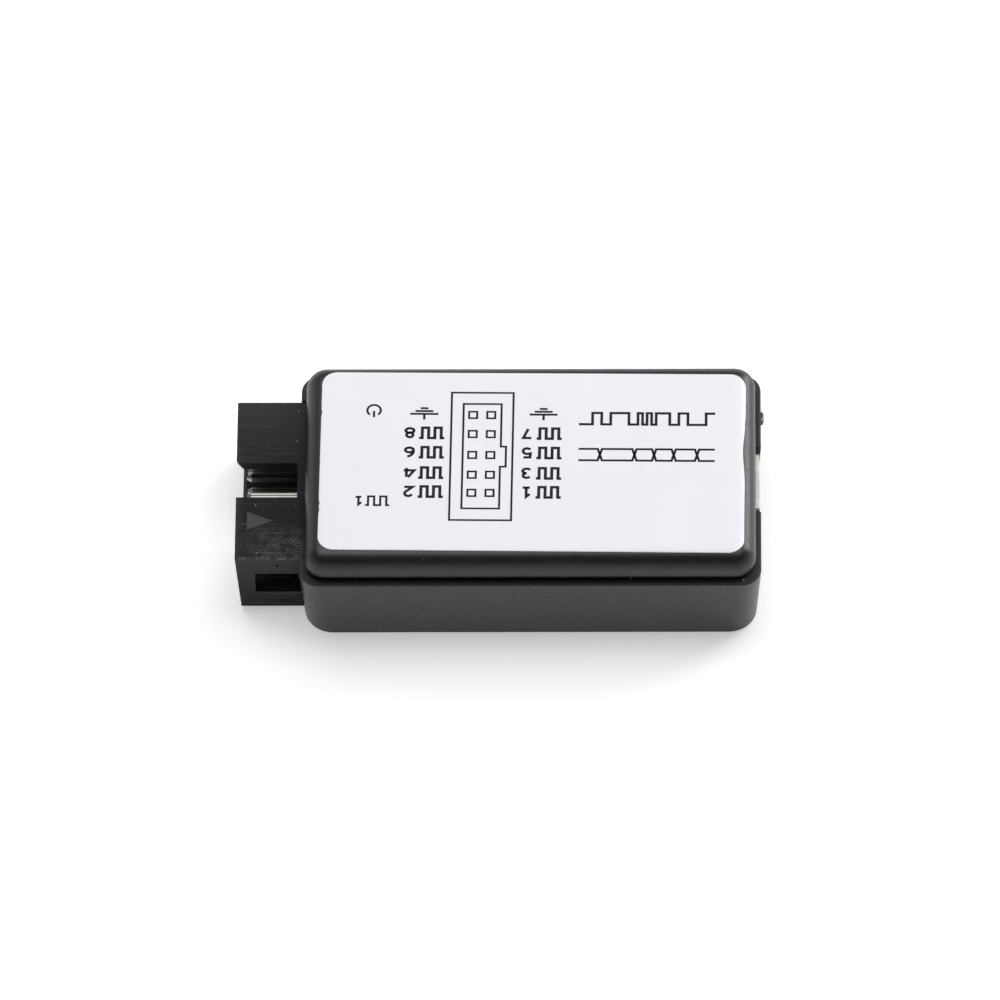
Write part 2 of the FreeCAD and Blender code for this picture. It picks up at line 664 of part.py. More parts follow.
def chip_part(length, width, height, cap):
    """A two-ended chip: the bare middle, and its two metal end caps."""
    lift = 0.03
    middle = box(-length / 2 + cap, length / 2 - cap, -width / 2, width / 2, lift, height)
    ends = []
    for side in (-1, 1):
        x0, x1 = sorted((side * (length / 2 - cap), side * length / 2))
        end = box(x0, x1, -width / 2, width / 2, 0, height + 0.02)
        rims = [e for e in end.Edges if all(abs(v.X - side * length / 2) < 1e-6 for v in e.Vertexes)]
        ends.append(end.makeFillet(0.06, rims))
    return middle, ends


def chips(places, length, width, height, cap):
    """Many equal chips: all their middles, and all their end caps."""
    middle, ends = chip_part(length, width, height, cap)
    middles, caps = [], []
    for place in places:
        middles += on_board([middle], *place)
        caps += on_board(ends, *place)
    return middles, caps


def resistor_array_parts():
    """Two four-way arrays: ceramic bars, and four end caps down each long side."""
    length, width, height, cap = 3.2, 1.6, 0.6, 0.3
    bar = box(-length / 2, length / 2, -width / 2 + cap, width / 2 - cap, 0.03, height)
    ends = []
    for i in range(4):
        x = (i - 1.5) * 0.8
        for side in (-1, 1):
            y0, y1 = sorted((side * (width / 2 - cap), side * width / 2))
            ends.append(box(x - 0.22, x + 0.22, y0, y1, 0, height + 0.02))
    bars, caps = [], []
    for place in ((-17.1, 2.6, 90), (-17.1, -2.6, 90)):
        bars += on_board([bar], *place)
        caps += on_board(ends, *place)
    return bars, caps


def led(place):
    """Carrier board, domed lens and end caps of one small indicator."""
    length, width, carrier, cap = 2.0, 1.25, 0.35, 0.35
    base = box(-length / 2 + cap, length / 2 - cap, -width / 2, width / 2, 0.02, carrier)
    lens = box(-length / 2 + cap, length / 2 - cap, -width / 2, width / 2, carrier, 0.85)
    lens = lens.makeChamfer(0.12, [e for e in edges_at(lens, 0.85)
                                   if abs(e.Vertexes[0].X - e.Vertexes[1].X) < 1e-6])
    ends = []
    for side in (-1, 1):
        x0, x1 = sorted((side * (length / 2 - cap), side * length / 2))
        ends.append(box(x0, x1, -width / 2, width / 2, 0, carrier + 0.02))
    return on_board([base], *place), on_board([lens], *place), on_board(ends, *place)


def build():
    os.makedirs("parts", exist_ok=True)
    export("lower_case", lower_case())
    export("cover", cover())
    export("label", label())
    export("header_shroud", header_shroud())
    export("header_pins_upper", pin_row(pin_heights()[0]))
    export("header_pins_lower", pin_row(pin_heights()[1]))
    export("header_solder", pin_solder())
    export("circuit_board", circuit_board())
    export("usb_shell", usb_shell())
    export("usb_insulator", usb_insulator())
    export("usb_contacts", [usb_contact_bar(y) for y in usb_contact_columns()])
    export("usb_shell_solder", usb_tab_solder())

    # name: place, body length, width, height, leads a side, pitch, span, lead breadth, thickness
    packages = {
        "controller": ((1.9, -1.6, 0), 18.4, 7.5, 2.4, 28, 0.635, 10.3, 0.28, 0.18),
        "buffer": ((-12.3, 0.0, 90), 6.5, 4.4, 1.1, 10, 0.65, 6.4, 0.24, 0.13),
        "memory": ((-12.6, 8.2, 0), 4.9, 3.9, 1.6, 4, 1.27, 6.0, 0.42, 0.2),
    }
    for name, sizes in packages.items():
        body, leads = leaded_chip(*sizes)
        export(f"{name}_body", body)
        export(f"{name}_leads", leads)
    body, leads = regulator()
    export("regulator_body", body)
    export("regulator_leads", leads)
    can, base, leads = crystal()
    export("crystal_can", can)
    export("crystal_base", base)
    export("crystal_leads", leads)

    resistors = [(-17.2, -9.6, 0), (-8.4, 8.6, 90), (12.6, 5.6, 90), (-17.3, 5.9, 0),
                 (-9.2, -6.3, 90), (-9.2, -8.9, 90), (13.6, 1.6, 90), (13.6, -1.6, 90)]
    capacitors = [(-6.6, 5.9, 90), (11.6, 8.6, 90), (-13.0, -5.6, 0), (-13.0, -7.4, 0),
                  (9.0, 5.2, 0), (0.0, 5.0, 0), (-4.0, -9.6, 0), (0.5, -9.6, 0),
                  (5.0, -9.6, 0), (-15.6, -11.0, 0)]
    middles, caps = chips(resistors, 1.6, 0.8, 0.45, 0.3)
    export("resistor_bodies", middles)
    export("resistor_end_caps", caps)
    middles, caps = chips(capacitors, 1.6, 0.8, 0.8, 0.3)
    export("capacitor_bodies", middles)
    export("capacitor_end_caps", caps)
    middles, caps = chips([(15.4, 8.4, 90)], 3.5, 2.8, 1.9, 0.45)
    export("tantalum_body", middles)
    export("tantalum_end_caps", caps)
    middles, caps = chips([(9.4, -9.4, 90)], 3.2, 1.6, 0.7, 0.45)
    export("fuse_body", middles)
    export("fuse_end_caps", caps)
    bars, caps = resistor_array_parts()
    export("resistor_array_bodies", bars)
    export("resistor_array_end_caps", caps)

    led_caps = []
    for name, place in (("power", (-17.4, 8.2, 90)), ("channel", (-17.4, -6.4, 90))):
        base, lens, ends = led(place)
        export(f"{name}_led_carrier", base)
        export(f"{name}_led_lens", lens)
        led_caps += ends
    export("led_end_caps", led_caps)


build()
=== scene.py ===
import bpy
import bmesh
import math
from mathutils import Matrix, Vector, noise


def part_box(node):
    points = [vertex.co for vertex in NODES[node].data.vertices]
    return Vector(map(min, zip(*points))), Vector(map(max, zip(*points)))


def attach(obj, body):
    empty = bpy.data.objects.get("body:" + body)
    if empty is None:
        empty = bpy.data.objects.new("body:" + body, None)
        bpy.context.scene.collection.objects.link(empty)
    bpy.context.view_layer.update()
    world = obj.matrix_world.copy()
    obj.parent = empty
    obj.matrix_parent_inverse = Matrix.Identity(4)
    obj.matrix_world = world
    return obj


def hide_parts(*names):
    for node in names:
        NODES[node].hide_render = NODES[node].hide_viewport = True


# Looks for an eight-channel USB logic analyzer: a black clip-together case with a printed white
# label, a black box header at the -X end and a mini USB receptacle at the +X end.
# Places come from the frame's boxes where a CAD node has them. Other lengths are in millimetres and
# become metres through MM, except the floor's and the lights', which are in metres.

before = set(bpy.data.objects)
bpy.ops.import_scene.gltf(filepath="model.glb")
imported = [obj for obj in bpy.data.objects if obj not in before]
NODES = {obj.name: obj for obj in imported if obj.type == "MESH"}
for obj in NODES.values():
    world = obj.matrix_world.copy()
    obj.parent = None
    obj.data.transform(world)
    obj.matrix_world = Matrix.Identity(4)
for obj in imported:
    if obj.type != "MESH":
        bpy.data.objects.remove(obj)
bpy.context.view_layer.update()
MM = 0.001

# ---- label: its own axes start at its middle and are turned with it ----
LABEL_TURN = math.radians(-0.6)
LABEL_CORNER = 1.7
LABEL_FILM = 0.1            # thickness of the film
FILM_EDGE = 0.03            # bevel along the film's cut edge
LABEL_SETBACK = 0.02        # the film's top stays this far under the CAD label's top
OUTLINE_STEP = 0.4          # longest side of the film's outline
COVER_ROUNDING = 2.0        # radius of the cover's upper edge, which the film's edge follows
LABEL_RINGS = (0.04, 0.16, 0.3, 0.45, 0.6, 0.8, 1.1, 1.6, 2.2, 2.4)  # insets of the film's rings of points
SHARP_EDGE = math.radians(28)

# Hollows in the label's two ends, each as (depth, y, spread), and how far in the film follows them
HEADER_END_NICKS = ((0.1, 6.3, 0.3), (0.1, -5.6, 0.3), (0.1, -6.5, 0.3))
USB_END_HOLLOWS = ((0.24, 1.6, 2.6), (0.04, -7.0, 4.5), (0.06, 5.4, 0.25))
NICK_REACH = 1.0
HOLLOW_REACH = 2.0

# ---- print, in the label's own axes ----
INK_STANDS = 0.006          # height of the ink over the film
INK_ROOT = 0.01             # the ink starts this far inside what it is printed on
INK_LINE = 0.225            # line width of the connector drawing
OUTER_FRAME = (-8.78, -2.16, -7.75, 9.02)
SLOTTED_FRAME = ((-7.49, 7.53), (-3.42, 7.53), (-3.42, 1.92), (-2.86, 1.92), (-2.86, -0.72),
                 (-3.47, -0.72), (-3.47, -6.22), (-7.49, -6.22))
PIN_COLUMNS = (-6.46, -4.52)
PIN_ROWS = (6.08, 3.56, 0.8, -1.8, -4.18)
PIN_HALF = 0.43
CHANNEL_COLUMNS = (-13.2, -0.6)
CHANNEL_ROWS = (3.68, 1.12, -1.56, -4.05)
CHANNEL_DIGITS = ("87", "65", "43", "21")
PULSE_SPAN = (1.0, 3.7)     # a channel's pulse mark, from the middle of its digit
GROUND_PLACES = ((-11.7, 6.18), (1.1, 6.18))
POWER_PLACE = (-17.1, 6.6)
INDICATOR_PLACE = (-18.5, -5.3)
INDICATOR_PULSE = (-17.8, -15.2)
WAVE_SPAN = (4.9, 19.5)
WAVE_Y, BUS_Y, WAVE_HEIGHT = 5.7, 0.95, 1.5

# Lengths of the lows and highs of the printed square waves, and where the bus lines cross
CHANNEL_WAVE = (1, 2, 2, 2, 1)
LONG_WAVE = (3, 2, 2, 4, 2, 1, 1, 1, 1, 3, 2, 2, 4, 2)
BUS_CROSSINGS = (7.2, 10.9, 13.0, 15.1, 17.6)
BUS_SLOPE = 0.45

# ---- header pins and the triangle at pin 1 ----
PITCH = 2.54
MARK_FROM_MOUTH = 1.2
MARK_Y = -5.3
MARK_LENGTH = 2.8
MARK_WIDTH = 2.45
MARK_GAP = 0.02             # between the triangle and the walls of its recess
MARK_BOTTOM, MARK_TOP = 0.1, 0.03  # depths under the header's upper face

# ---- wear, finish and painted light: each band starts and is full at these distances from an edge or a middle ----
LEDGE_SHADE_BAND = (0.14, 0.06)   # painted shade, above and below the lower case's rim
MOUTH_PALING = (0.9, 0.0)     # paler band, from the header's mouth
REAR_LIGHT = (9.0, 0.0)      # painted light, from the header's +Y end
END_FACE_LIGHT = (0.1, 0.02)      # painted light on the header's -Y end face, from that end
END_LIGHT_Z = 2.0            # the painted light on that end face starts at this height
SCUFF_ALONG = (0.6, 2.6)    # from the header's mouth
SCUFF_ACROSS = (4.6, 2.6)   # from the header's -Y end
SCUFF_UNDER = (0.4, 0.2)    # under the header's upper face
DUST_UNDER = (0.2, 0.1)     # under the header's upper face
EDGE_WEAR = (0.28, 0.1)     # from the header's upper -Y edge
PIN_REFLECTION = (0.1, 0.06)      # painted dark reflection, from the middle of each pin
FLECK_BAND = (0.2, 0.12)    # from the middle of each pale spot on the gate's stub

# ---- torn stub of the moulding gate ----
SCAR_SETBACK = 0.24         # the torn lumps stand this far inside the stub's outer face
SCAR_Z = 9.28
SCAR_LUMPS = ((-0.04, 7.98, 0.12), (0.02, 8.2, 0.1), (0.14, 8.42, 0.09),
              (0.04, 8.62, 0.11), (0.12, 8.98, 0.15), (0.3, 8.3, 0.09))  # (further in, y, size)
PALE_FLECKS = (7.98, 8.98)  # Y of the stub's two pale spots

# ---- circuit board's surface ----
TRACE_STANDS, INK_ON_MASK, PAD_STANDS = 0.012, 0.02, 0.026
TRACE_WIDTH = 0.17
SILK_WIDTH = 0.13
SILK_MARGIN = 0.34          # between a component and its printed outline
DOT_RADIUS = 0.18           # printed beside one corner of components longer than DOT_MIN_LENGTH
DOT_MIN_LENGTH = 4.0
VIA_RADIUS, BORE_RADIUS = 0.24, 0.13
DOT_BESIDE, DOT_ABOVE = 0.35, 0.3
FOOT_HEIGHT = 0.04          # points this near the board count as standing on it
TOUCHING = 0.03             # areas this near each other belong to one component
PART_CLEAR = 0.1            # room that traces and vias leave round parts and pads
SOCKET_CLEAR = 0.3
VIA_CLEAR = 0.3
CAP_PAD_MARGIN = 0.16
LEAD_PAD_LONG, LEAD_PAD_SIDE = 0.2, 0.05

# Traces that leave a package: a straight start, a slant, then a run of staggered length
FAN_START, FAN_SLANT, FAN_STAGGER = 0.4, 0.32, 0.55
FAN_SHORTEST, FAN_STEP, FAN_CLEAR = 0.5, 0.2, 0.28
FAN_REACH = {"controller_leads": 1.0, "buffer_leads": 0.7, "memory_leads": 0.5}

# Listed traces: the X of their turns, and the Y of both ends, mirrored in Y
HEADER_PAD_X, HEADER_TURN_X, ARRAY_IN_X = -19.1, -18.75, -17.8
HEADER_TO_ARRAY = ((2 * PITCH, 3.8), (PITCH, 2.2))
HEADER_TURN = 0.3
ARRAY_TURNS_X = (-16.4, -16.2, -15.7, -15.3)
ARRAY_TO_BUFFER = ((3.8, 2.925), (3.0, 2.275), (2.2, 1.625), (1.4, 0.975))

# Stitching vias: distance from the board's edges, number of steps, and two inner columns
STITCH_X, STITCH_Y = 1.0, 0.8
STITCH_STEPS_X, STITCH_STEPS_Y = 16, 8
STITCH_HEADER_COLUMN, STITCH_USB_COLUMN = 4.2, 9.6
STITCH_CLEAR = 0.45

# ---- camera: angles in degrees, the rest in millimetres ----
CAMERA_AZIMUTH = 1.53
CAMERA_ELEVATION = 54.52
CAMERA_ROLL = -1.36
CAMERA_DISTANCE = 1500.0
CAMERA_SIDE = -3.398
CAMERA_RISE = 3.301
CAMERA_LENS = 501.2
CAMERA_SENSOR = 36.0

# ---- stage, in metres; each softbox has its place, its size and its power in watts ----
FLOOR_HALF = 1.5
FLOOR_GLOW = 0.4            # the floor's own light: it pales the floor and lights the walls a little
CASE_MIDDLE = (0, 0, 0.006)
SOFTBOXES = {
    "overhead": ((0.0, 0.19, 0.6), (0.7, 0.53), 3.2),
    "right": ((0.6, 0.5, 0.31), (0.34, 0.52), 3.5),
    "left": ((-0.6, 0.45, 0.3), (0.4, 0.3), 0.2),
}


# ---------------------------------------------------------------- shader helpers
class Shader:
    """A material with one Principled shader and short calls for the nodes that feed it."""

    def __init__(self, name, color, rough, metal=0.0):
        self.material = bpy.data.materials.new(name)
        self.material.use_nodes = True
        self.tree = self.material.node_tree
        self.bsdf = self.tree.nodes["Principled BSDF"]
        self.color = color
        self.set("Base Color", (*color, 1.0))
        self.set("Roughness", rough)
        self.set("Metallic", metal)
        self.coords = None

    def set(self, socket, value):
        self.bsdf.inputs[socket].default_value = value

    def node(self, kind, **values):
        made = self.tree.nodes.new(kind)
        for key, value in values.items():
            if hasattr(made, key):
                setattr(made, key, value)
            else:
                made.inputs[key.replace("_", " ")].default_value = value
        return made

    def link(self, source, target):
        self.tree.links.new(source, target)

    def feed(self, source, socket):
        self.link(source, self.bsdf.inputs[socket])

    def place(self, stretch=(1, 1, 1), shift=(0, 0, 0)):
        """Coordinates in millimetres, stretched and shifted."""
        if self.coords is None:
            self.coords = self.node("ShaderNodeTexCoord").outputs["Object"]
        mapping = self.node("ShaderNodeMapping")
        mapping.inputs["Scale"].default_value = [s / MM for s in stretch]
        mapping.inputs["Location"].default_value = shift
        self.link(self.coords, mapping.inputs["Vector"])
        return mapping.outputs["Vector"]

    def noise(self, per_mm, detail=2.0, stretch=(1, 1, 1), shift=(0, 0, 0)):
        made = self.node("ShaderNodeTexNoise", Scale=per_mm, Detail=detail)
        self.link(self.place(stretch, shift), made.inputs["Vector"])
        return made.outputs["Fac"]

    def specks(self, per_mm, radius, share, shift=(0, 0, 0)):
        """1 inside small round spots; share is how many of the cells hold one."""
        cells = self.node("ShaderNodeTexVoronoi", Scale=per_mm)
        self.link(self.place((1, 1, 1), shift), cells.inputs["Vector"])
        near = self.math("LESS_THAN", cells.outputs["Distance"], radius * per_mm)
        chosen = self.math("LESS_THAN", cells.outputs["Color"], share)
        return self.math("MULTIPLY", near, chosen)

    def math(self, operation, first, second=None):
        made = self.node("ShaderNodeMath", operation=operation)
        for index, value in enumerate((first, second)):
            if value is None:
                continue
            if isinstance(value, (int, float)):
                made.inputs[index].default_value = value
            else:
                self.link(value, made.inputs[index])
        return made.outputs["Value"]

    def span(self, source, low, high, to_low=0.0, to_high=1.0):
        """Maps low..high to to_low..to_high, clamped."""
        made = self.node("ShaderNodeMapRange")
        self.link(source, made.inputs["Value"])
        for name, value in (("From Min", low), ("From Max", high),
                            ("To Min", to_low), ("To Max", to_high)):
            made.inputs[name].default_value = value
        return made.outputs["Result"]

    def axis(self, letter):
        """One coordinate, in millimetres."""
        split = self.node("ShaderNodeSeparateXYZ")
        self.link(self.place(), split.inputs["Vector"])
        return split.outputs[letter]

    def blend(self, factor, first, second):
        """A colour between two; each is an (r, g, b) or a socket."""
        made = self.node("ShaderNodeMix", data_type="RGBA")
        self.link(factor, made.inputs["Factor"])
        for name, value in (("A", first), ("B", second)):
            socket = [i for i in made.inputs if i.name == name and i.type == "RGBA"][0]
            if isinstance(value, tuple):
                socket.default_value = (*value, 1.0)
            else:
                self.link(value, socket)
        return [o for o in made.outputs if o.type == "RGBA"][0]

    def bump(self, height, depth, strength=1.0):
        """depth is the relief, in millimetres, that a height of 1 stands for."""
        made = self.node("ShaderNodeBump", Strength=strength, Distance=depth * MM)
        self.link(height, made.inputs["Height"])
        self.feed(made.outputs["Normal"], "Normal")


# ---------------------------------------------------------------- materials
def case_plastic():
    """Black satin moulding: spark texture, faint clouding, a little pale dust, and painted shade on the
    rougher ledge under the cover's foot.
    """
    s = Shader("case_plastic", (0.009, 0.009, 0.0105), 0.4)
    fine = s.noise(7.0, 3.0)
    coarse = s.noise(3.2, 3.0, (1, 1, 1), (4, 9, 2))
    cloud = s.noise(0.35, 3.0)
    grey = s.blend(s.span(cloud, 0.35, 0.7), (0.007, 0.007, 0.0085), (0.011, 0.011, 0.013))
    grain = s.blend(s.span(fine, 0.56, 0.8), grey, (0.03, 0.03, 0.033))
    dust = s.math("MAXIMUM", s.specks(0.3, 0.085, 0.3), s.specks(0.8, 0.045, 0.15, (3, 5, 8)))
    ledge = ledge_shade_area(s)
    # painted shade: the ledge and the cover's foot are darkened where the cover overhangs the ledge
    shaded = s.blend(ledge, grain, (0.006, 0.006, 0.007))
    s.feed(s.blend(s.math("MULTIPLY", dust, 0.8), shaded, (0.5, 0.49, 0.47)), "Base Color")
    satin = s.span(coarse, 0.3, 0.7, 0.28, 0.45)
    s.feed(s.math("MAXIMUM", satin, s.math("MULTIPLY", ledge, 0.6)), "Roughness")
    s.bump(s.math("ADD", fine, coarse), 0.007)
    return s.material


def ledge_shade_area(s):
    """1 on the flat ledge of the lower case's rim and the cover's foot over it, where the colour carries
    painted shade and the gloss is duller.
    """
    _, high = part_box("lower_case")
    from_rim = s.math("ABSOLUTE", s.math("SUBTRACT", s.axis("Z"), high.z / MM))
    return s.span(from_rim, *LEDGE_SHADE_BAND)


def header_plastic():
    """Connector plastic: mould streaks along X, dust, pale worn edges, a scuffed corner, and painted light
    towards the +Y end and up the -Y end face.
    """
    _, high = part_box("header_shroud")
    s = Shader("header_plastic", (0.01, 0.01, 0.012), 0.64)
    s.set("Specular IOR Level", 0.17)
    streak = s.noise(1.3, 4.0, (0.1, 1.0, 1.0))
    scratch = s.noise(3.4, 3.0, (0.05, 1.0, 1.0))
    fine = s.noise(7.0, 3.0)
    base = s.blend(s.span(streak, 0.4, 0.66), (0.004, 0.004, 0.0055), (0.014, 0.014, 0.017))
    scored = s.blend(s.span(scratch, 0.56, 0.68, 0.0, 0.7), base, (0.045, 0.045, 0.05))
    grain = s.blend(s.span(fine, 0.55, 0.8, 0.0, 0.8), scored, (0.036, 0.036, 0.039))
    # painted light towards the +Y end and up the -Y end face, and a paler band at the mouth
    pale_and_lit = s.blend(pale_and_lit_area(s), grain, (0.045, 0.045, 0.047))
    patches = s.span(s.noise(1.1, 3.0), 0.32, 0.6)
    haze = s.math("MULTIPLY", patches, s.span(s.noise(5.5, 6.0), 0.42, 0.72))
    scuffed = s.math("MULTIPLY", scuff_area(s), haze)
    worn = s.blend(scuffed, pale_and_lit, (0.12, 0.12, 0.13))
    edged = s.blend(edge_wear(s), worn, (0.15, 0.15, 0.155))
    dust = s.math("MAXIMUM", s.specks(0.8, 0.08, 0.5), s.specks(1.6, 0.05, 0.3, (7, 3, 1)))
    top = high.z / MM
    upward = s.span(s.axis("Z"), top - DUST_UNDER[0], top - DUST_UNDER[1], 0.0, 0.5)
    s.feed(s.blend(s.math("MULTIPLY", dust, upward), edged, (0.4, 0.4, 0.38)), "Base Color")
    s.feed(s.span(streak, 0.3, 0.7, 0.56, 0.7), "Roughness")
    s.bump(s.math("ADD", streak, fine), 0.006)
    return s.material


def pale_and_lit_area(s):
    """Rises towards the header's mouth, which is paler, and as painted light towards its +Y end and up its
    -Y end face.
    """
    low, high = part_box("header_shroud")
    x0, y0, y1 = low.x / MM, low.y / MM, high.y / MM
    mouth = s.span(s.axis("X"), x0 + MOUTH_PALING[0], x0 + MOUTH_PALING[1], 0.0, 0.5)
    rear = s.span(s.axis("Y"), y1 - REAR_LIGHT[0], y1 - REAR_LIGHT[1], 0.0, 0.6)
    end_face = s.span(s.axis("Y"), y0 + END_FACE_LIGHT[0], y0 + END_FACE_LIGHT[1])
    end_light = s.math("MULTIPLY", end_face, s.span(s.axis("Z"), END_LIGHT_Z, high.z / MM, 0.0, 0.85))
    return s.math("MAXIMUM", s.math("MAXIMUM", mouth, rear), end_light)


def scuff_area(s):
    """1 near the -Y end of the header's upper face, away from its mouth."""
    low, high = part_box("header_shroud")
    x0, y0, top = low.x / MM, low.y / MM, high.z / MM
    along = s.span(s.axis("X"), x0 + SCUFF_ALONG[0], x0 + SCUFF_ALONG[1])
    across = s.span(s.axis("Y"), y0 + SCUFF_ACROSS[0], y0 + SCUFF_ACROSS[1])
    upper = s.span(s.axis("Z"), top - SCUFF_UNDER[0], top - SCUFF_UNDER[1])
    return s.math("MULTIPLY", s.math("MULTIPLY", along, across), upper)


def edge_wear(s):
    """Broken pale line along the header's upper -Y edge."""
    low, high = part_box("header_shroud")
    from_side = s.math("SUBTRACT", s.axis("Y"), low.y / MM)
    from_top = s.math("SUBTRACT", high.z / MM, s.axis("Z"))
    reach = s.math("MAXIMUM", from_side, from_top)
    band = s.span(reach, *EDGE_WEAR)
    return s.math("MULTIPLY", band, s.span(s.noise(1.6, 3.0), 0.42, 0.66, 0.0, 0.8))


def matte_mark():
    """Dull moulded grain of the triangle at pin 1."""
    s = Shader("pin_one_mark", (0.04, 0.04, 0.042), 0.7)
    fine = s.noise(10.0, 3.0)
    s.feed(s.blend(s.span(fine, 0.3, 0.7), (0.028, 0.028, 0.03), (0.055, 0.055, 0.058)), "Base Color")
    s.bump(fine, 0.01)
    return s.material


def label_film():
    """White film with a faint cool tint and a very slight unevenness."""
    s = Shader("label_film", (0.8, 0.81, 0.83), 0.4)
    cloud = s.noise(0.12, 2.0)
    s.feed(s.blend(s.span(cloud, 0.3, 0.7), (0.872, 0.864, 0.9), (0.884, 0.876, 0.914)), "Base Color")
    ripple = s.noise(0.5, 2.0)
    s.feed(s.span(ripple, 0.3, 0.7, 0.36, 0.44), "Roughness")
    s.bump(ripple, 0.01, 0.4)
    return s.material


def label_ink():
    """Black ink, with a low gloss and a fine unevenness."""
    s = Shader("label_ink", (0.005, 0.005, 0.008), 0.55)
    s.set("Specular IOR Level", 0.2)
    fine = s.noise(6.0, 3.0)
    s.feed(s.blend(s.span(fine, 0.35, 0.7), (0.003, 0.003, 0.006), (0.012, 0.012, 0.017)), "Base Color")
    return s.material


def metal(name, color, rough, spread=0.1, stretch=(0.2, 1, 1), per_mm=4.0):
    """Plated metal: drawn or rolled streaks in its gloss, faint tarnish in its colour."""
    s = Shader(name, color, rough, 1.0)
    streak = s.noise(per_mm, 3.0, stretch)
    cloud = s.noise(0.8, 2.0)
    dull = tuple(c * 0.82 for c in color)
    s.feed(s.blend(s.span(cloud, 0.35, 0.7), color, dull), "Base Color")
    s.feed(s.span(streak, 0.3, 0.7, rough, rough + spread), "Roughness")
    s.bump(streak, 0.003)
    return s.material


def moulded(name, color, rough, per_mm=6.0, lift=1.8, depth=0.006):
    """Any small moulded or fired body: grain in colour, gloss and relief."""
    s = Shader(name, color, rough)
    fine = s.noise(per_mm, 3.0)
    pale = tuple(min(1.0, c * lift) for c in color)
    s.feed(s.blend(s.span(fine, 0.4, 0.75), color, pale), "Base Color")
    s.feed(s.span(fine, 0.3, 0.7, rough - 0.06, rough + 0.08), "Roughness")
    s.bump(fine, depth)
    return s.material


def pin_tin():
    """Tinned square wire: bright, with a painted dark reflection along the middle of each pin."""
    s = Shader("pin_tin", (0.42, 0.405, 0.38), 0.3, 1.0)
    streak = s.noise(4.0, 3.0, (0.2, 1, 1))
    from_middle = s.math("PINGPONG", s.math("ABSOLUTE", s.axis("Y")), PITCH / 2)
    # painted reflection: a dark line along the middle of each pin
    line = s.span(from_middle, *PIN_REFLECTION, 0.0, 0.9)
    plain = s.blend(s.span(streak, 0.35, 0.7), (0.42, 0.405, 0.38), (0.38, 0.365, 0.34))
    s.feed(s.blend(line, plain, (0.07, 0.066, 0.06)), "Base Color")
    s.feed(s.span(streak, 0.3, 0.7, 0.3, 0.35), "Roughness")
    s.bump(streak, 0.001)
    return s.material


def torn_plastic():
    """Pale stressed plastic where the gate was broken off."""
    s = Shader("torn_plastic", (0.05, 0.05, 0.052), 0.6)
    fine = s.noise(5.0, 4.0)
    spots = [s.span(s.math("ABSOLUTE", s.math("SUBTRACT", s.axis("Y"), y)), *FLECK_BAND)
             for y in PALE_FLECKS]
    torn = s.math("MULTIPLY", s.span(fine, 0.3, 0.5), s.math("MAXIMUM", *spots))
    s.feed(s.blend(torn, (0.02, 0.02, 0.021), (0.5, 0.5, 0.505)), "Base Color")
    s.bump(fine, 0.02)
    return s.material


def solder_mask():
    """Green mask over copper: the glass weave shows faintly through it."""
    s = Shader("solder_mask", (0.01, 0.12, 0.045), 0.3)
    weave_x = s.noise(2.4, 1.0, (0.12, 1.0, 1.0))
    weave_y = s.noise(2.4, 1.0, (1.0, 0.12, 1.0))
    weave = s.math("ADD", weave_x, weave_y)
    s.feed(s.blend(s.span(weave, 0.8, 1.2), (0.008, 0.1, 0.038), (0.012, 0.135, 0.05)), "Base Color")
    s.set("Coat Weight", 0.4)
    s.set("Coat Roughness", 0.2)
    s.bump(weave, 0.004)
    return s.material


def resin_lens():
    """Clear cast resin, slightly yellow and cloudy."""
    s = Shader("led_lens", (0.86, 0.82, 0.6), 0.18)
    cloud = s.noise(3.0, 2.0)
    s.feed(s.blend(s.span(cloud, 0.3, 0.7), (0.86, 0.83, 0.66), (0.84, 0.78, 0.5)), "Base Color")
    s.set("Transmission Weight", 0.35)
    return s.material


# ---------------------------------------------------------------- mesh helpers
def piece(name, mesh, material, body):
    """Wraps a mesh as a piece of the object, in place, riding on a body."""
    made = bpy.data.objects.new(name, mesh)
    bpy.context.scene.collection.objects.link(made)
    made.data.materials.clear()
    made.data.materials.append(material)
    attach(made, body)
    return made


def to_mesh(name, bm):
    """A mesh from a bmesh, with its faces turned outwards."""
    bmesh.ops.recalc_face_normals(bm, faces=bm.faces)
    mesh = bpy.data.meshes.new(name)
    bm.to_mesh(mesh)
    bm.free()
    return mesh


def slab(bm, outline, low, high):
    """Adds a closed plate: outline is a list of (x, y) in millimetres, low and high in metres."""
    under = [bm.verts.new((x * MM, y * MM, low)) for x, y in outline]
    over = [bm.verts.new((x * MM, y * MM, high)) for x, y in outline]
    bm.faces.new(list(reversed(under)))
    bm.faces.new(over)
    for i in range(len(outline)):
        j = (i + 1) % len(outline)
        bm.faces.new((under[i], under[j], over[j], over[i]))


def stroke(bm, points, width, low, high, closed=False):
    """Adds a mitred line of even width along points, as one closed plate for each span."""
    count = len(points)
    left, right = [], []
    for i, (x, y) in enumerate(points):
        before = points[i - 1] if (i or closed) else None
        after = points[(i + 1) % count] if (i < count - 1 or closed) else None
        ways = []
        if before is not None:
            ways.append(Vector((x - before[0], y - before[1])).normalized())
        if after is not None:
            ways.append(Vector((after[0] - x, after[1] - y)).normalized())
        along = sum(ways, Vector((0, 0))).normalized()
        across = Vector((-along.y, along.x))
        reach = width / 2 / max(0.35, across.dot(Vector((-ways[0].y, ways[0].x))))
        left.append((x + across.x * reach, y + across.y * reach))
        right.append((x - across.x * reach, y - across.y * reach))
    spans = count if closed else count - 1
    for i in range(spans):
        j = (i + 1) % count
        slab(bm, [right[i], right[j], left[j], left[i]], low, high)


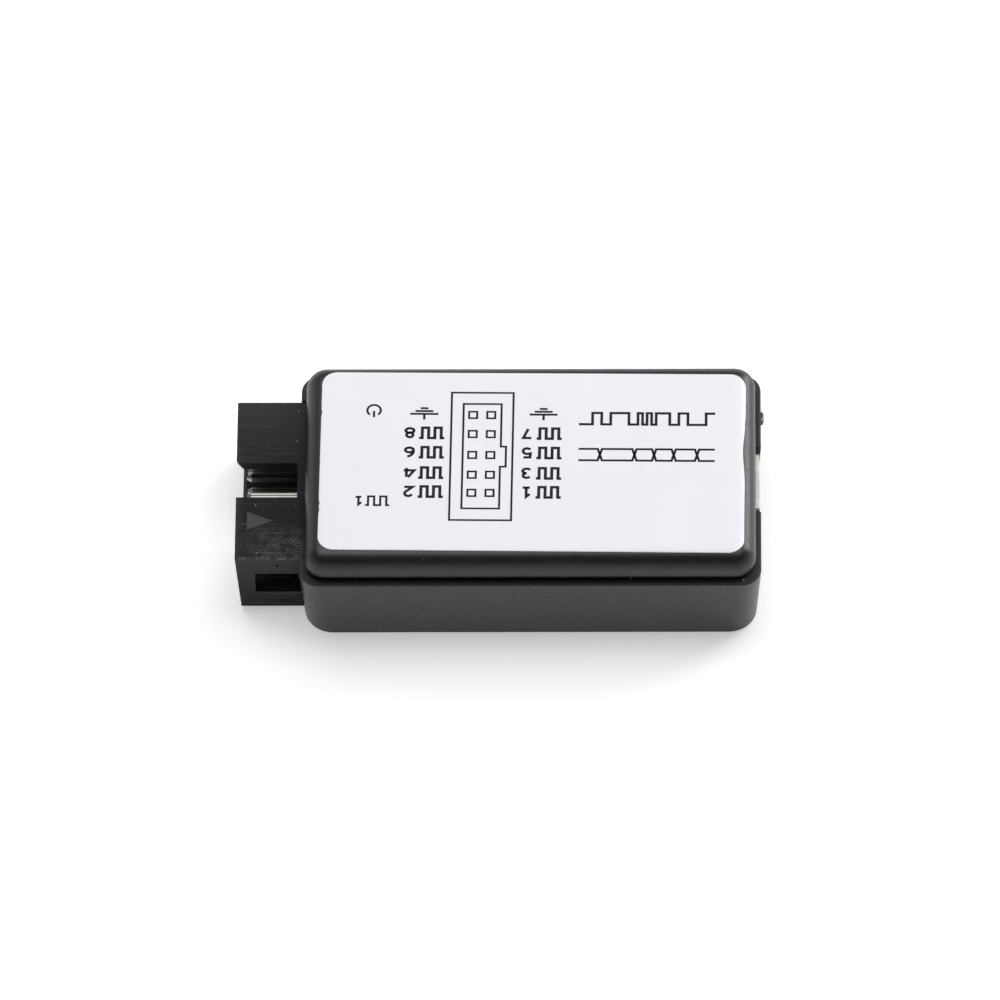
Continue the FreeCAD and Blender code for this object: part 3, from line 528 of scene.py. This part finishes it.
def disc(bm, x, y, radius, low, high, hole=0.0, parts=20):
    """Adds a disc, or a ring when hole is more than 0."""
    turns = [2 * math.pi * k / parts for k in range(parts)]

    def circle(r):
        return [(x + r * math.cos(t), y + r * math.sin(t)) for t in turns]

    if not hole:
        slab(bm, circle(radius), low, high)
        return
    outer, inner = circle(radius), circle(hole)
    for k in range(parts):
        n = (k + 1) % parts
        slab(bm, [outer[k], outer[n], inner[n], inner[k]], low, high)


# ---------------------------------------------------------------- label
LABEL_LOW, LABEL_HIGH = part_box("label")
_, COVER_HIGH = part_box("cover")
LABEL_MID = (LABEL_LOW + LABEL_HIGH) / 2 / MM
FILM_TOP = LABEL_HIGH.z - LABEL_SETBACK * MM
INK_TOP = FILM_TOP + INK_STANDS * MM


def turned(x, y):
    """From the label's own axes to the row frame, in millimetres."""
    c, s = math.cos(LABEL_TURN), math.sin(LABEL_TURN)
    return LABEL_MID.x + x * c - y * s, LABEL_MID.y + x * s + y * c


def label_half_size():
    """Half length and half width of the label before it is turned, from the turned label's box."""
    across = (LABEL_HIGH - LABEL_LOW) / 2 / MM
    c, s = math.cos(LABEL_TURN), abs(math.sin(LABEL_TURN))
    corner = LABEL_CORNER * (c + s - 1)
    half_length = (across.x + corner - (across.y + corner) * s) / (c * c - s * s) * c
    half_width = (across.y + corner - (across.x + corner) * s) / (c * c - s * s) * c
    return half_length, half_width


def hollow(y, hollows):
    """How far one end of the label draws in at y."""
    return sum(depth * math.exp(-((y - middle) / spread) ** 2) for depth, middle, spread in hollows)


def end_wander(x, y, half_length):
    """How far a point of the label moves along X, for the hollows in the end it is near."""
    if x < 0:
        return hollow(y, HEADER_END_NICKS) * max(0.0, (-x - half_length + NICK_REACH) / NICK_REACH)
    return -hollow(y, USB_END_HOLLOWS) * max(0.0, (x - half_length + HOLLOW_REACH) / HOLLOW_REACH)


def label_outline():
    """The label's rounded rectangle, in its own axes."""
    half_length, half_width = label_half_size()
    steps = 10
    points = []
    for quarter, (sx, sy) in enumerate(((1, 1), (-1, 1), (-1, -1), (1, -1))):
        cx, cy = sx * (half_length - LABEL_CORNER), sy * (half_width - LABEL_CORNER)
        for k in range(steps + 1):
            turn = math.radians(90 * (quarter + k / steps))
            points.append((cx + LABEL_CORNER * math.cos(turn), cy + LABEL_CORNER * math.sin(turn)))
    return split_sides(points, OUTLINE_STEP)


def split_sides(points, longest):
    """Splits the long sides of a closed outline into even shorter ones."""
    made = []
    for i, (x0, y0) in enumerate(points):
        x1, y1 = points[(i + 1) % len(points)]
        parts = max(1, round(math.hypot(x1 - x0, y1 - y0) / longest))
        made += [(x0 + (x1 - x0) * k / parts, y0 + (y1 - y0) * k / parts) for k in range(parts)]
    return made


def film_drop(x, y):
    """How far the cover's rounded edge falls away under a point, in millimetres."""
    drop = 0.0
    for value, edge in ((abs(x), COVER_HIGH.x / MM), (abs(y), COVER_HIGH.y / MM)):
        past = value - (edge - COVER_ROUNDING)
        if past > 0:
            drop += COVER_ROUNDING - math.sqrt(max(COVER_ROUNDING ** 2 - past ** 2, 0.0))
    return drop


def drawn_in(point, inset):
    """A point moved towards both axes by inset, and no further than either axis."""
    return Vector([math.copysign(max(abs(value) - inset, 0), value) for value in point])


def make_label():
    """The film: a closed sheet, draped over the cover's rounded edge ring by ring."""
    half_length, _ = label_half_size()
    outline = label_outline()
    profile = [(FILM_EDGE, LABEL_FILM), (0.0, LABEL_FILM - FILM_EDGE), (0.0, FILM_EDGE)]
    profile += [(inset, 0.0) for inset in LABEL_RINGS]
    bm = bmesh.new()
    rings = []
    for inset, under in profile:
        ring = []
        for corner in outline:
            x, y = drawn_in(corner, inset)
            px, py = turned(x + end_wander(x, y, half_length), y)
            z = FILM_TOP - (under + film_drop(px, py)) * MM
            ring.append(bm.verts.new((px * MM, py * MM, z)))
        rings.append(ring)
    for a, b in zip(rings, rings[1:]):
        for i in range(len(outline)):
            j = (i + 1) % len(outline)
            bm.faces.new((a[i], a[j], b[j], b[i]))
    bm.faces.new(rings[-1])
    bm.faces.new(list(reversed(rings[0])))
    mesh = to_mesh("label_sheet", bm)
    mesh.polygons.foreach_set("use_smooth", [True] * len(mesh.polygons))
    mesh.set_sharp_from_angle(angle=SHARP_EDGE)
    made = piece("label_sheet", mesh, label_film(), "cover")
    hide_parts("label")


def arc_points(cx, cy, rx, ry, start, end, parts=14):
    """Points on an ellipse between two angles in degrees, counter-clockwise when end is larger."""
    turns = [math.radians(start + (end - start) * k / parts) for k in range(parts + 1)]
    return [(cx + rx * math.cos(t), cy + ry * math.sin(t)) for t in turns]


def digit_strokes(digit):
    """A digit's strokes, each (points, closed), about its own centre: 1 tall and about 1 wide."""
    upper_ring = arc_points(0, 0.24, 0.4, 0.26, 0, 360)[:-1]
    lower_ring = arc_points(0, -0.24, 0.5, 0.26, 0, 360)[:-1]
    two = arc_points(0, 0.2, 0.44, 0.3, 160, -30) + [(-0.5, -0.5), (0.5, -0.5)]
    three_upper = arc_points(0, 0.25, 0.42, 0.25, 150, -90)
    three_lower = arc_points(0, -0.25, 0.48, 0.25, 90, -150)
    five = [(0.42, 0.5), (-0.36, 0.5), (-0.42, 0.06)] + arc_points(0, -0.19, 0.48, 0.31, 120, -145)
    six_arm = arc_points(0.5, -0.12, 1.0, 0.62, 105, 180, 10)
    strokes = {
        "1": [([(-0.42, 0.2), (0.0, 0.5), (0.0, -0.5)], False), ([(-0.42, -0.5), (0.42, -0.5)], False)],
        "2": [(two, False)],
        "3": [(three_upper, False), (three_lower, False)],
        "4": [([(0.62, -0.24), (-0.64, -0.24), (0.1, 0.52)], False), ([(0.28, 0.5), (0.28, -0.5)], False)],
        "5": [(five, False)],
        "6": [(lower_ring, True), (six_arm, False)],
        "7": [([(-0.48, 0.5), (0.48, 0.5), (-0.1, -0.5)], False)],
        "8": [(upper_ring, True), (lower_ring, True)],
    }
    return strokes[digit]


def print_digit(bm, digit, x, y, width=1.2, height=1.5, line=0.31):
    """Prints a digit upside down at a place on the label: it reads from the case's far side."""
    reach_x, reach_y = width - line, height - line
    for points, closed in digit_strokes(digit):
        placed = [(x - px * reach_x, y - py * reach_y) for px, py in points]
        ink_line(bm, placed, line, closed)


def ink_line(bm, points, width=INK_LINE, closed=False):
    """Prints a line through points given in the label's own axes."""
    placed = [turned(x, y) for x, y in points]
    stroke(bm, placed, width, FILM_TOP - INK_ROOT * MM, INK_TOP, closed)


def rectangle(x0, x1, y0, y1):
    return [(x0, y0), (x1, y0), (x1, y1), (x0, y1)]


def ground_sign(bm, x, y, width=3.0, height=1.5, line=0.26):
    """The ground symbol, upside down like the digits: a stem and three bars."""
    ink_line(bm, [(x, y - height / 2), (x, y)], line)
    for k, share in enumerate((1.0, 0.64, 0.28)):
        level = y + k * height / 4
        ink_line(bm, [(x - width / 2 * share, level), (x + width / 2 * share, level)], line)


def pulse_train(bm, x0, x1, y, height, widths, line):
    """A square wave from x0 to x1; widths are the lengths of its lows and highs, a low first."""
    points = [(x0, y - height / 2)]
    x, up = x0, False
    total = sum(widths)
    for part in widths:
        level = y + (height / 2 if up else -height / 2)
        x += (x1 - x0) * part / total
        points.append((x, level))
        up = not up
        if x < x1 - 1e-6:
            points.append((x, y + (height / 2 if up else -height / 2)))
    ink_line(bm, points, line)


def bus_trace(bm, x0, x1, y, height, crossings, line):
    """A bus waveform: two mirrored lines that cross at each crossing."""
    for sign in (1, -1):
        level = sign * height / 2
        points = [(x0, y + level)]
        for x in crossings:
            points += [(x - BUS_SLOPE / 2, y + level), (x + BUS_SLOPE / 2, y - level)]
            level = -level
        points.append((x1, y + level))
        ink_line(bm, points, line)


def print_connector(bm):
    """Drawing of the box header: its outer frame, its slotted wall and its ten pins."""
    ink_line(bm, rectangle(*OUTER_FRAME), closed=True)
    ink_line(bm, SLOTTED_FRAME, closed=True)
    for y in PIN_ROWS:
        for x in PIN_COLUMNS:
            pin = rectangle(x - PIN_HALF, x + PIN_HALF, y - PIN_HALF, y + PIN_HALF)
            ink_line(bm, pin, closed=True)


def make_label_print():
    """Connector drawing, channel numbers, ground signs and plain waveform marks."""
    bm = bmesh.new()
    print_connector(bm)
    for y, digits in zip(CHANNEL_ROWS, CHANNEL_DIGITS):
        for x, digit in zip(CHANNEL_COLUMNS, digits):
            print_digit(bm, digit, x, y)
            pulse_train(bm, x + PULSE_SPAN[0], x + PULSE_SPAN[1], y, 1.35, CHANNEL_WAVE, line=0.33)
    for x, y in GROUND_PLACES:
        ground_sign(bm, x, y)
    power_sign(bm, *POWER_PLACE, radius=0.72)
    print_digit(bm, "1", *INDICATOR_PLACE, width=1.0, height=1.24, line=0.25)
    pulse_train(bm, *INDICATOR_PULSE, INDICATOR_PLACE[1], 1.15, CHANNEL_WAVE, line=0.24)
    pulse_train(bm, *WAVE_SPAN, WAVE_Y, WAVE_HEIGHT, LONG_WAVE, line=0.3)
    bus_trace(bm, *WAVE_SPAN, BUS_Y, WAVE_HEIGHT, BUS_CROSSINGS, line=0.26)
    piece("label_print", to_mesh("label_print", bm), label_ink(), "cover")


def power_sign(bm, x, y, radius, line=0.24):
    """A broken ring with a bar in its gap: the gap is towards -Y, like the digits."""
    gap = math.radians(38)
    steps = 18
    start = -math.pi / 2 + gap
    sweep = 2 * math.pi - 2 * gap
    turns = [start + sweep * k / steps for k in range(steps + 1)]
    ring = [(x + radius * math.cos(t), y + radius * math.sin(t)) for t in turns]
    ink_line(bm, ring, line)
    ink_line(bm, [(x, y - radius * 1.25), (x, y - radius * 0.1)], line)


# ---------------------------------------------------------------- header inlay and gate scar
def make_pin_one_mark():
    """The matte triangle of the header's upper face, lying in its shallow recess."""
    low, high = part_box("header_shroud")
    x0, x1 = low.x / MM + MARK_FROM_MOUTH, low.x / MM + MARK_FROM_MOUTH + MARK_LENGTH
    half = MARK_WIDTH / 2 - MARK_GAP
    corners = [(x0 + MARK_GAP, MARK_Y - half), (x1 - 2 * MARK_GAP, MARK_Y), (x0 + MARK_GAP, MARK_Y + half)]
    bm = bmesh.new()
    slab(bm, corners, high.z - MARK_BOTTOM * MM, high.z - MARK_TOP * MM)
    piece("pin_one_triangle", to_mesh("pin_one_triangle", bm), matte_mark(), "case")


def lump(bm, middle, radii, seed):
    """A small torn lump: a sphere pushed out of round by noise."""
    made = bmesh.ops.create_icosphere(bm, subdivisions=3, radius=1.0)
    for vertex in made["verts"]:
        way = vertex.co.copy()
        reach = 1.0 + 0.45 * noise.noise(way * 1.7 + Vector((seed, 0, 0)))
        vertex.co = Vector([(m + w * r * reach) * MM for m, w, r in zip(middle, way, radii)])


def make_gate_scar():
    """Torn edges of the moulding gate's stub, under the rim of the USB end."""
    _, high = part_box("lower_case")
    x = high.x / MM - SCAR_SETBACK
    bm = bmesh.new()
    for step, (inward, y, size) in enumerate(SCAR_LUMPS):
        lump(bm, (x - inward, y, SCAR_Z), (size, size * 1.2, size * 0.9), step * 3.1)
    piece("gate_scar", to_mesh("gate_scar", bm), torn_plastic(), "case")


# ---------------------------------------------------------------- circuit board's surface
BOARD_LOW, BOARD_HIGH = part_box("circuit_board")
BOARD_TOP = BOARD_HIGH.z
ON_BOARD_ENDINGS = ("_body", "_bodies", "_leads", "_caps", "_can", "_base", "_carrier")
ON_BOARD = [n for n in NODES if n.endswith(ON_BOARD_ENDINGS)]
CONNECTOR_METAL = ["header_solder", "usb_contacts", "usb_shell_solder"]


class Area:
    """A rectangle on the board, in millimetres."""

    def __init__(self, x0, x1, y0, y1):
        self.x0, self.x1, self.y0, self.y1 = x0, x1, y0, y1

    def grown(self, dx, dy):
        return Area(self.x0 - dx, self.x1 + dx, self.y0 - dy, self.y1 + dy)

    def meets(self, other):
        return (self.x0 <= other.x1 and other.x0 <= self.x1
                and self.y0 <= other.y1 and other.y0 <= self.y1)

    def joined(self, other):
        return Area(min(self.x0, other.x0), max(self.x1, other.x1),
                    min(self.y0, other.y0), max(self.y1, other.y1))

    def corners(self):
        return rectangle(self.x0, self.x1, self.y0, self.y1)

    def middle(self):
        return (self.x0 + self.x1) / 2, (self.y0 + self.y1) / 2


def solids_of(node):
    """The separate solids of a node, each a list of points in metres."""
    mesh = NODES[node].data
    places = [tuple(round(c, 7) for c in v.co) for v in mesh.vertices]
    leader = {place: place for place in places}

    def head(place):
        while leader[place] != place:
            leader[place] = leader[leader[place]]
            place = leader[place]
        return place

    for polygon in mesh.polygons:
        first = head(places[polygon.vertices[0]])
        for index in polygon.vertices[1:]:
            leader[head(places[index])] = first
            first = head(first)
    groups = {}
    for place in leader:
        groups.setdefault(head(place), []).append(place)
    return list(groups.values())


def area_of(points):
    xs = [p[0] / MM for p in points]
    ys = [p[1] / MM for p in points]
    return Area(min(xs), max(xs), min(ys), max(ys))


def footprints(node):
    """Where each solid of a node touches the upper face of the board."""
    found = []
    for points in solids_of(node):
        touching = [p for p in points if abs(p[2] - BOARD_TOP) < FOOT_HEIGHT * MM]
        if len(touching) >= 3:
            found.append(area_of(touching))
    return found


def merged(areas):
    """Joins areas that touch, until each component is one area."""
    areas = list(areas)
    index = 0
    while index < len(areas):
        for other in range(index + 1, len(areas)):
            if areas[index].grown(TOUCHING, TOUCHING).meets(areas[other]):
                areas[index] = areas[index].joined(areas.pop(other))
                index = -1
                break
        index += 1
    return areas


def all_footprints():
    """Each pad's area: a lead's foot grown mostly along its length, a chip's end grown all round."""
    pads = []
    for node in ON_BOARD + CONNECTOR_METAL:
        if not node.endswith(("_leads", "_caps")) and node not in CONNECTOR_METAL:
            continue
        for foot in footprints(node):
            wide, deep = foot.x1 - foot.x0, foot.y1 - foot.y0
            if node.endswith("_caps") or node == "usb_shell_solder":
                pads.append(foot.grown(CAP_PAD_MARGIN, CAP_PAD_MARGIN))
            elif wide < deep:
                pads.append(foot.grown(LEAD_PAD_SIDE, LEAD_PAD_LONG))
            else:
                pads.append(foot.grown(LEAD_PAD_LONG, LEAD_PAD_SIDE))
    return pads


def fan_out(node, blocked):
    """Traces that run from a package's leads, away from it, wherever there is room for one."""
    feet = footprints(node)
    whole = feet[0]
    for foot in feet[1:]:
        whole = whole.joined(foot)
    cx, cy = whole.middle()
    routes = []
    for index, foot in enumerate(feet):
        x, y = foot.middle()
        along_x = foot.x1 - foot.x0 > foot.y1 - foot.y0
        if along_x:
            sign, start = (1, foot.x1) if x > cx else (-1, foot.x0)
        else:
            sign, start = (1, foot.y1) if y > cy else (-1, foot.y0)
        length = FAN_REACH[node] + FAN_STAGGER * ((index * 3) % 4)
        while length > FAN_SHORTEST:
            turn = start + sign * FAN_START
            slanted = start + sign * (FAN_START + FAN_SLANT)
            end = start + sign * (FAN_START + FAN_SLANT + length)
            run = [(start, 0.0), (turn, 0.0), (slanted, FAN_SLANT), (end, FAN_SLANT)]
            path = [(a, y + b) if along_x else (x + b, a) for a, b in run]
            if not any(swept(path[1], path[-1]).meets(area) for area in blocked):
                routes.append(path)
                break
            length -= FAN_STEP
    return routes


def swept(start, end):
    """The area that a trace between two points keeps clear."""
    (x0, y0), (x1, y1) = start, end
    return Area(min(x0, x1), max(x0, x1), min(y0, y1), max(y0, y1)).grown(FAN_CLEAR, FAN_CLEAR)


def package_routes(blocked):
    """The traces that leave the three chips."""
    found = {}
    for node in FAN_REACH:
        found[node] = fan_out(node, [a for a in blocked if not near_package(a, node)])
    # Of the buffer's traces only the one nearest the +Y end is drawn.
    found["buffer_leads"] = [max(found["buffer_leads"], key=lambda path: path[0][1])]
    return [path for routes in found.values() for path in routes]


def header_routes():
    """Listed traces: header pads to the resistor arrays, and the arrays to the buffer."""
    routes = []
    for sign in (-1, 1):
        for pad, cap in HEADER_TO_ARRAY:
            y0, y1 = sign * pad, sign * cap
            step = min(HEADER_TURN, abs(y1 - y0) / 2)
            toward = -sign * step
            routes.append([(HEADER_PAD_X, y0), (HEADER_TURN_X, y0), (HEADER_TURN_X + step, y0 + toward),
                           (HEADER_TURN_X + step, y1 - toward), (HEADER_TURN_X + 2 * step, y1),
                           (ARRAY_IN_X, y1)])
        for cap, lead in ARRAY_TO_BUFFER:
            levels = (sign * cap, sign * cap, sign * lead, sign * lead)
            routes.append(list(zip(ARRAY_TURNS_X, levels)))
    return routes


def edge_vias(blocked):
    """Stitching vias round the edge of the board, wherever there is room."""
    x0, x1 = BOARD_LOW.x / MM + STITCH_X, BOARD_HIGH.x / MM - STITCH_X
    y0, y1 = BOARD_LOW.y / MM + STITCH_Y, BOARD_HIGH.y / MM - STITCH_Y
    places = [(x0 + (x1 - x0) * k / STITCH_STEPS_X, y) for k in range(1, STITCH_STEPS_X) for y in (y0, y1)]
    places += [(x, y0 + (y1 - y0) * k / STITCH_STEPS_Y) for k in range(1, STITCH_STEPS_Y)
               for x in (x0 + STITCH_HEADER_COLUMN, x1 - STITCH_USB_COLUMN)]
    return [(x, y) for x, y in places if not any(spot(x, y, STITCH_CLEAR).meets(a) for a in blocked)]


def spot(x, y, margin=0.0):
    """The square area round a point."""
    return Area(x, x, y, y).grown(margin, margin)


def on_mask(name, draw, material, stands):
    """One piece on the board's upper face; draw adds its plates to a bmesh."""
    bm = bmesh.new()
    draw(bm, BOARD_TOP - INK_ROOT * MM, BOARD_TOP + stands * MM)
    piece(name, to_mesh(name, bm), material, "case")


def make_board_surface():
    """Pads, traces, vias and plain component outlines, placed from the parts that stand on them."""
    pads = all_footprints()
    parts = merged([area_of(points) for node in ON_BOARD for points in solids_of(node)])
    low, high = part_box("usb_shell")
    socket = Area(low.x / MM, high.x / MM, low.y / MM, high.y / MM)
    blocked = [area.grown(PART_CLEAR, PART_CLEAR) for area in parts + pads]
    blocked.append(socket.grown(SOCKET_CLEAR, SOCKET_CLEAR))
    routes = package_routes(blocked)
    ends = [path[-1] for path in routes]
    holes = ends + edge_vias(blocked + [spot(x, y, VIA_CLEAR) for x, y in ends])

    def traces(bm, under, over):
        for path in routes + header_routes():
            stroke(bm, path, TRACE_WIDTH, under, over)

    def lands(bm, under, over):
        for pad in pads:
            slab(bm, pad.corners(), under, over)
        for x, y in holes:
            disc(bm, x, y, VIA_RADIUS, under, over, BORE_RADIUS)

    # painted shade: a dark disc where each via's hole is
    def bores(bm, under, over):
        for x, y in holes:
            disc(bm, x, y, BORE_RADIUS, under, over)

    def outlines(bm, under, over):
        for part in parts:
            outline = part.grown(SILK_MARGIN, SILK_MARGIN)
            stroke(bm, outline.corners(), SILK_WIDTH, under, over, True)
            if part.x1 - part.x0 > DOT_MIN_LENGTH:
                disc(bm, outline.x0 - DOT_BESIDE, outline.y0 + DOT_ABOVE, DOT_RADIUS, under, over)

    pad_tin = metal("pad_tin", (0.72, 0.71, 0.68), 0.3, 0.15, (1, 1, 1), 3.0)
    on_mask("board_traces", traces, copper_under_mask(), TRACE_STANDS)
    on_mask("board_outlines", outlines, silk_ink(), INK_ON_MASK)
    on_mask("board_pads", lands, pad_tin, PAD_STANDS)
    on_mask("via_bores", bores, via_hole_shade(), TRACE_STANDS)


def near_package(area, node):
    """True if an area belongs to the package whose leads are given."""
    low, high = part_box(node)
    package = Area(low.x / MM, high.x / MM, low.y / MM, high.y / MM).grown(PART_CLEAR, PART_CLEAR)
    return package.meets(spot(*area.middle()))


def copper_under_mask():
    """Green mask where a copper trace lifts and brightens it."""
    s = Shader("copper_under_mask", (0.03, 0.24, 0.09), 0.3)
    cloud = s.noise(3.0, 3.0)
    s.feed(s.blend(s.span(cloud, 0.3, 0.7), (0.026, 0.21, 0.08), (0.045, 0.28, 0.11)), "Base Color")
    s.set("Coat Weight", 0.4)
    s.set("Coat Roughness", 0.2)
    s.bump(cloud, 0.004)
    return s.material


def silk_ink():
    """White printing on the board, slightly uneven."""
    s = Shader("silk_ink", (0.74, 0.75, 0.73), 0.6)
    fine = s.noise(9.0, 3.0)
    s.feed(s.blend(s.span(fine, 0.35, 0.65), (0.78, 0.79, 0.77), (0.62, 0.66, 0.62)), "Base Color")
    s.bump(fine, 0.006)
    return s.material


def via_hole_shade():
    """Painted shade: the dark inside of a via's hole, laid as a flat disc on the board."""
    s = Shader("via_hole_shade", (0.01, 0.02, 0.014), 0.7)
    fine = s.noise(9.0, 2.0)
    s.feed(s.blend(fine, (0.006, 0.012, 0.009), (0.016, 0.03, 0.02)), "Base Color")
    return s.material


# ---------------------------------------------------------------- stage, light and camera
def set_stage():
    """A plain pale floor under the case."""
    mesh = bpy.data.meshes.new("floor")
    corners = rectangle(-FLOOR_HALF, FLOOR_HALF, -FLOOR_HALF, FLOOR_HALF)
    mesh.from_pydata([(x, y, 0) for x, y in corners], [], [(0, 1, 2, 3)])
    floor = bpy.data.objects.new("floor", mesh)
    bpy.context.scene.collection.objects.link(floor)
    s = Shader("floor", (0.9, 0.9, 0.9), 0.9)
    s.set("Specular IOR Level", 0.0)
    s.set("Emission Color", (1.0, 1.0, 1.0, 1.0))
    s.set("Emission Strength", FLOOR_GLOW)
    floor.data.materials.append(s.material)


def set_world():
    """Bright round the horizon and dark overhead, where the softboxes hang."""
    world = bpy.data.worlds.new("studio")
    bpy.context.scene.world = world
    world.use_nodes = True
    tree = world.node_tree
    coords = tree.nodes.new("ShaderNodeTexCoord")
    split = tree.nodes.new("ShaderNodeSeparateXYZ")
    tree.links.new(coords.outputs["Generated"], split.inputs["Vector"])
    ramp = tree.nodes.new("ShaderNodeMapRange")
    tree.links.new(split.outputs["Z"], ramp.inputs["Value"])
    for name, value in (("From Min", 0.05), ("From Max", 0.6), ("To Min", 1.0), ("To Max", 0.04)):
        ramp.inputs[name].default_value = value
    background = tree.nodes["Background"]
    tree.links.new(ramp.outputs["Result"], background.inputs["Strength"])
    background.inputs["Color"].default_value = (0.96, 0.96, 1.05, 1.0)


def add_softbox(name, place, size, power):
    """A rectangular light that faces the case."""
    light = bpy.data.lights.new(name, "AREA")
    light.shape = "RECTANGLE"
    light.size, light.size_y = size
    light.energy = power
    holder = bpy.data.objects.new(name, light)
    bpy.context.scene.collection.objects.link(holder)
    holder.location = place
    holder.rotation_mode = "QUATERNION"
    holder.rotation_quaternion = (Vector(CASE_MIDDLE) - Vector(place)).to_track_quat("-Z", "Y")


def set_lights():
    for name, (place, size, power) in SOFTBOXES.items():
        add_softbox(name, place, size, power)


def set_camera():
    """The camera looks along -back at a point shifted from the frame's origin by side and rise."""
    a, e, roll = (math.radians(v) for v in (CAMERA_AZIMUTH, CAMERA_ELEVATION, CAMERA_ROLL))
    back = Vector((math.sin(a) * math.cos(e), -math.cos(a) * math.cos(e), math.sin(e)))
    level = Vector((math.cos(a), math.sin(a), 0.0))
    upright = back.cross(level)
    right = level * math.cos(roll) + upright * math.sin(roll)
    up = upright * math.cos(roll) - level * math.sin(roll)
    data = bpy.data.cameras.new("camera")
    data.lens = CAMERA_LENS
    data.sensor_width = CAMERA_SENSOR
    data.clip_start, data.clip_end = 0.1, 10.0
    camera = bpy.data.objects.new("camera", data)
    bpy.context.scene.collection.objects.link(camera)
    place = (back * CAMERA_DISTANCE + right * CAMERA_SIDE + up * CAMERA_RISE) * MM
    turn = Matrix((right, up, back)).transposed().to_4x4()
    camera.matrix_world = Matrix.Translation(place) @ turn
    bpy.context.scene.camera = camera


# ---------------------------------------------------------------- putting it together
def dress(material, *names):
    """Gives CAD nodes their material."""
    for name in names:
        slots = NODES[name].data.materials
        slots.clear()
        slots.append(material)


def dress_cad_nodes():
    dress(case_plastic(), "lower_case", "cover")
    dress(header_plastic(), "header_shroud")
    dress(pin_tin(), "header_pins_upper", "header_pins_lower")
    solder = metal("solder", (0.74, 0.74, 0.75), 0.22, 0.15, (1, 1, 1), 2.0)
    dress(solder, "header_solder", "usb_shell_solder")
    dress(solder_mask(), "circuit_board")
    dress(metal("usb_nickel", (0.5, 0.47, 0.44), 0.34, 0.16, (1, 0.3, 1), 3.0), "usb_shell")
    dress(moulded("usb_insulator", (0.02, 0.02, 0.021), 0.5), "usb_insulator")
    dress(metal("contact_gold", (0.85, 0.62, 0.25), 0.2), "usb_contacts")
    chips = [n for n in NODES if n.endswith("_body") and n not in ("tantalum_body", "fuse_body")]
    dress(moulded("chip_epoxy", (0.022, 0.022, 0.024), 0.55), *chips, "crystal_base")
    leads = [n for n in NODES if n.endswith("_leads")]
    dress(metal("lead_tin", (0.78, 0.78, 0.78), 0.3), *leads)
    dress(metal("can_steel", (0.76, 0.75, 0.72), 0.28, 0.12, (1, 0.3, 1)), "crystal_can")
    dress(moulded("overglaze", (0.012, 0.012, 0.014), 0.3), "resistor_bodies", "resistor_array_bodies")
    dress(moulded("capacitor_ceramic", (0.42, 0.29, 0.18), 0.5, 5.0, 1.25), "capacitor_bodies")
    dress(moulded("tantalum_resin", (0.72, 0.42, 0.06), 0.45, 5.0, 1.15), "tantalum_body")
    dress(moulded("fuse_laminate", (0.03, 0.12, 0.07), 0.4, 5.0, 1.5), "fuse_body")
    caps = [n for n in NODES if n.endswith("_end_caps")]
    dress(metal("end_cap_tin", (0.78, 0.78, 0.77), 0.3, 0.15, (1, 1, 1)), *caps)
    carrier = moulded("led_carrier", (0.7, 0.7, 0.66), 0.5, 5.0, 1.15)
    dress(carrier, "power_led_carrier", "channel_led_carrier")
    dress(resin_lens(), "power_led_lens", "channel_led_lens")


bpy.context.scene.view_settings.view_transform = "Standard"
set_camera()
set_world()
set_lights()
set_stage()
dress_cad_nodes()
make_label()
make_label_print()
make_pin_one_mark()
make_gate_scar()
make_board_surface()
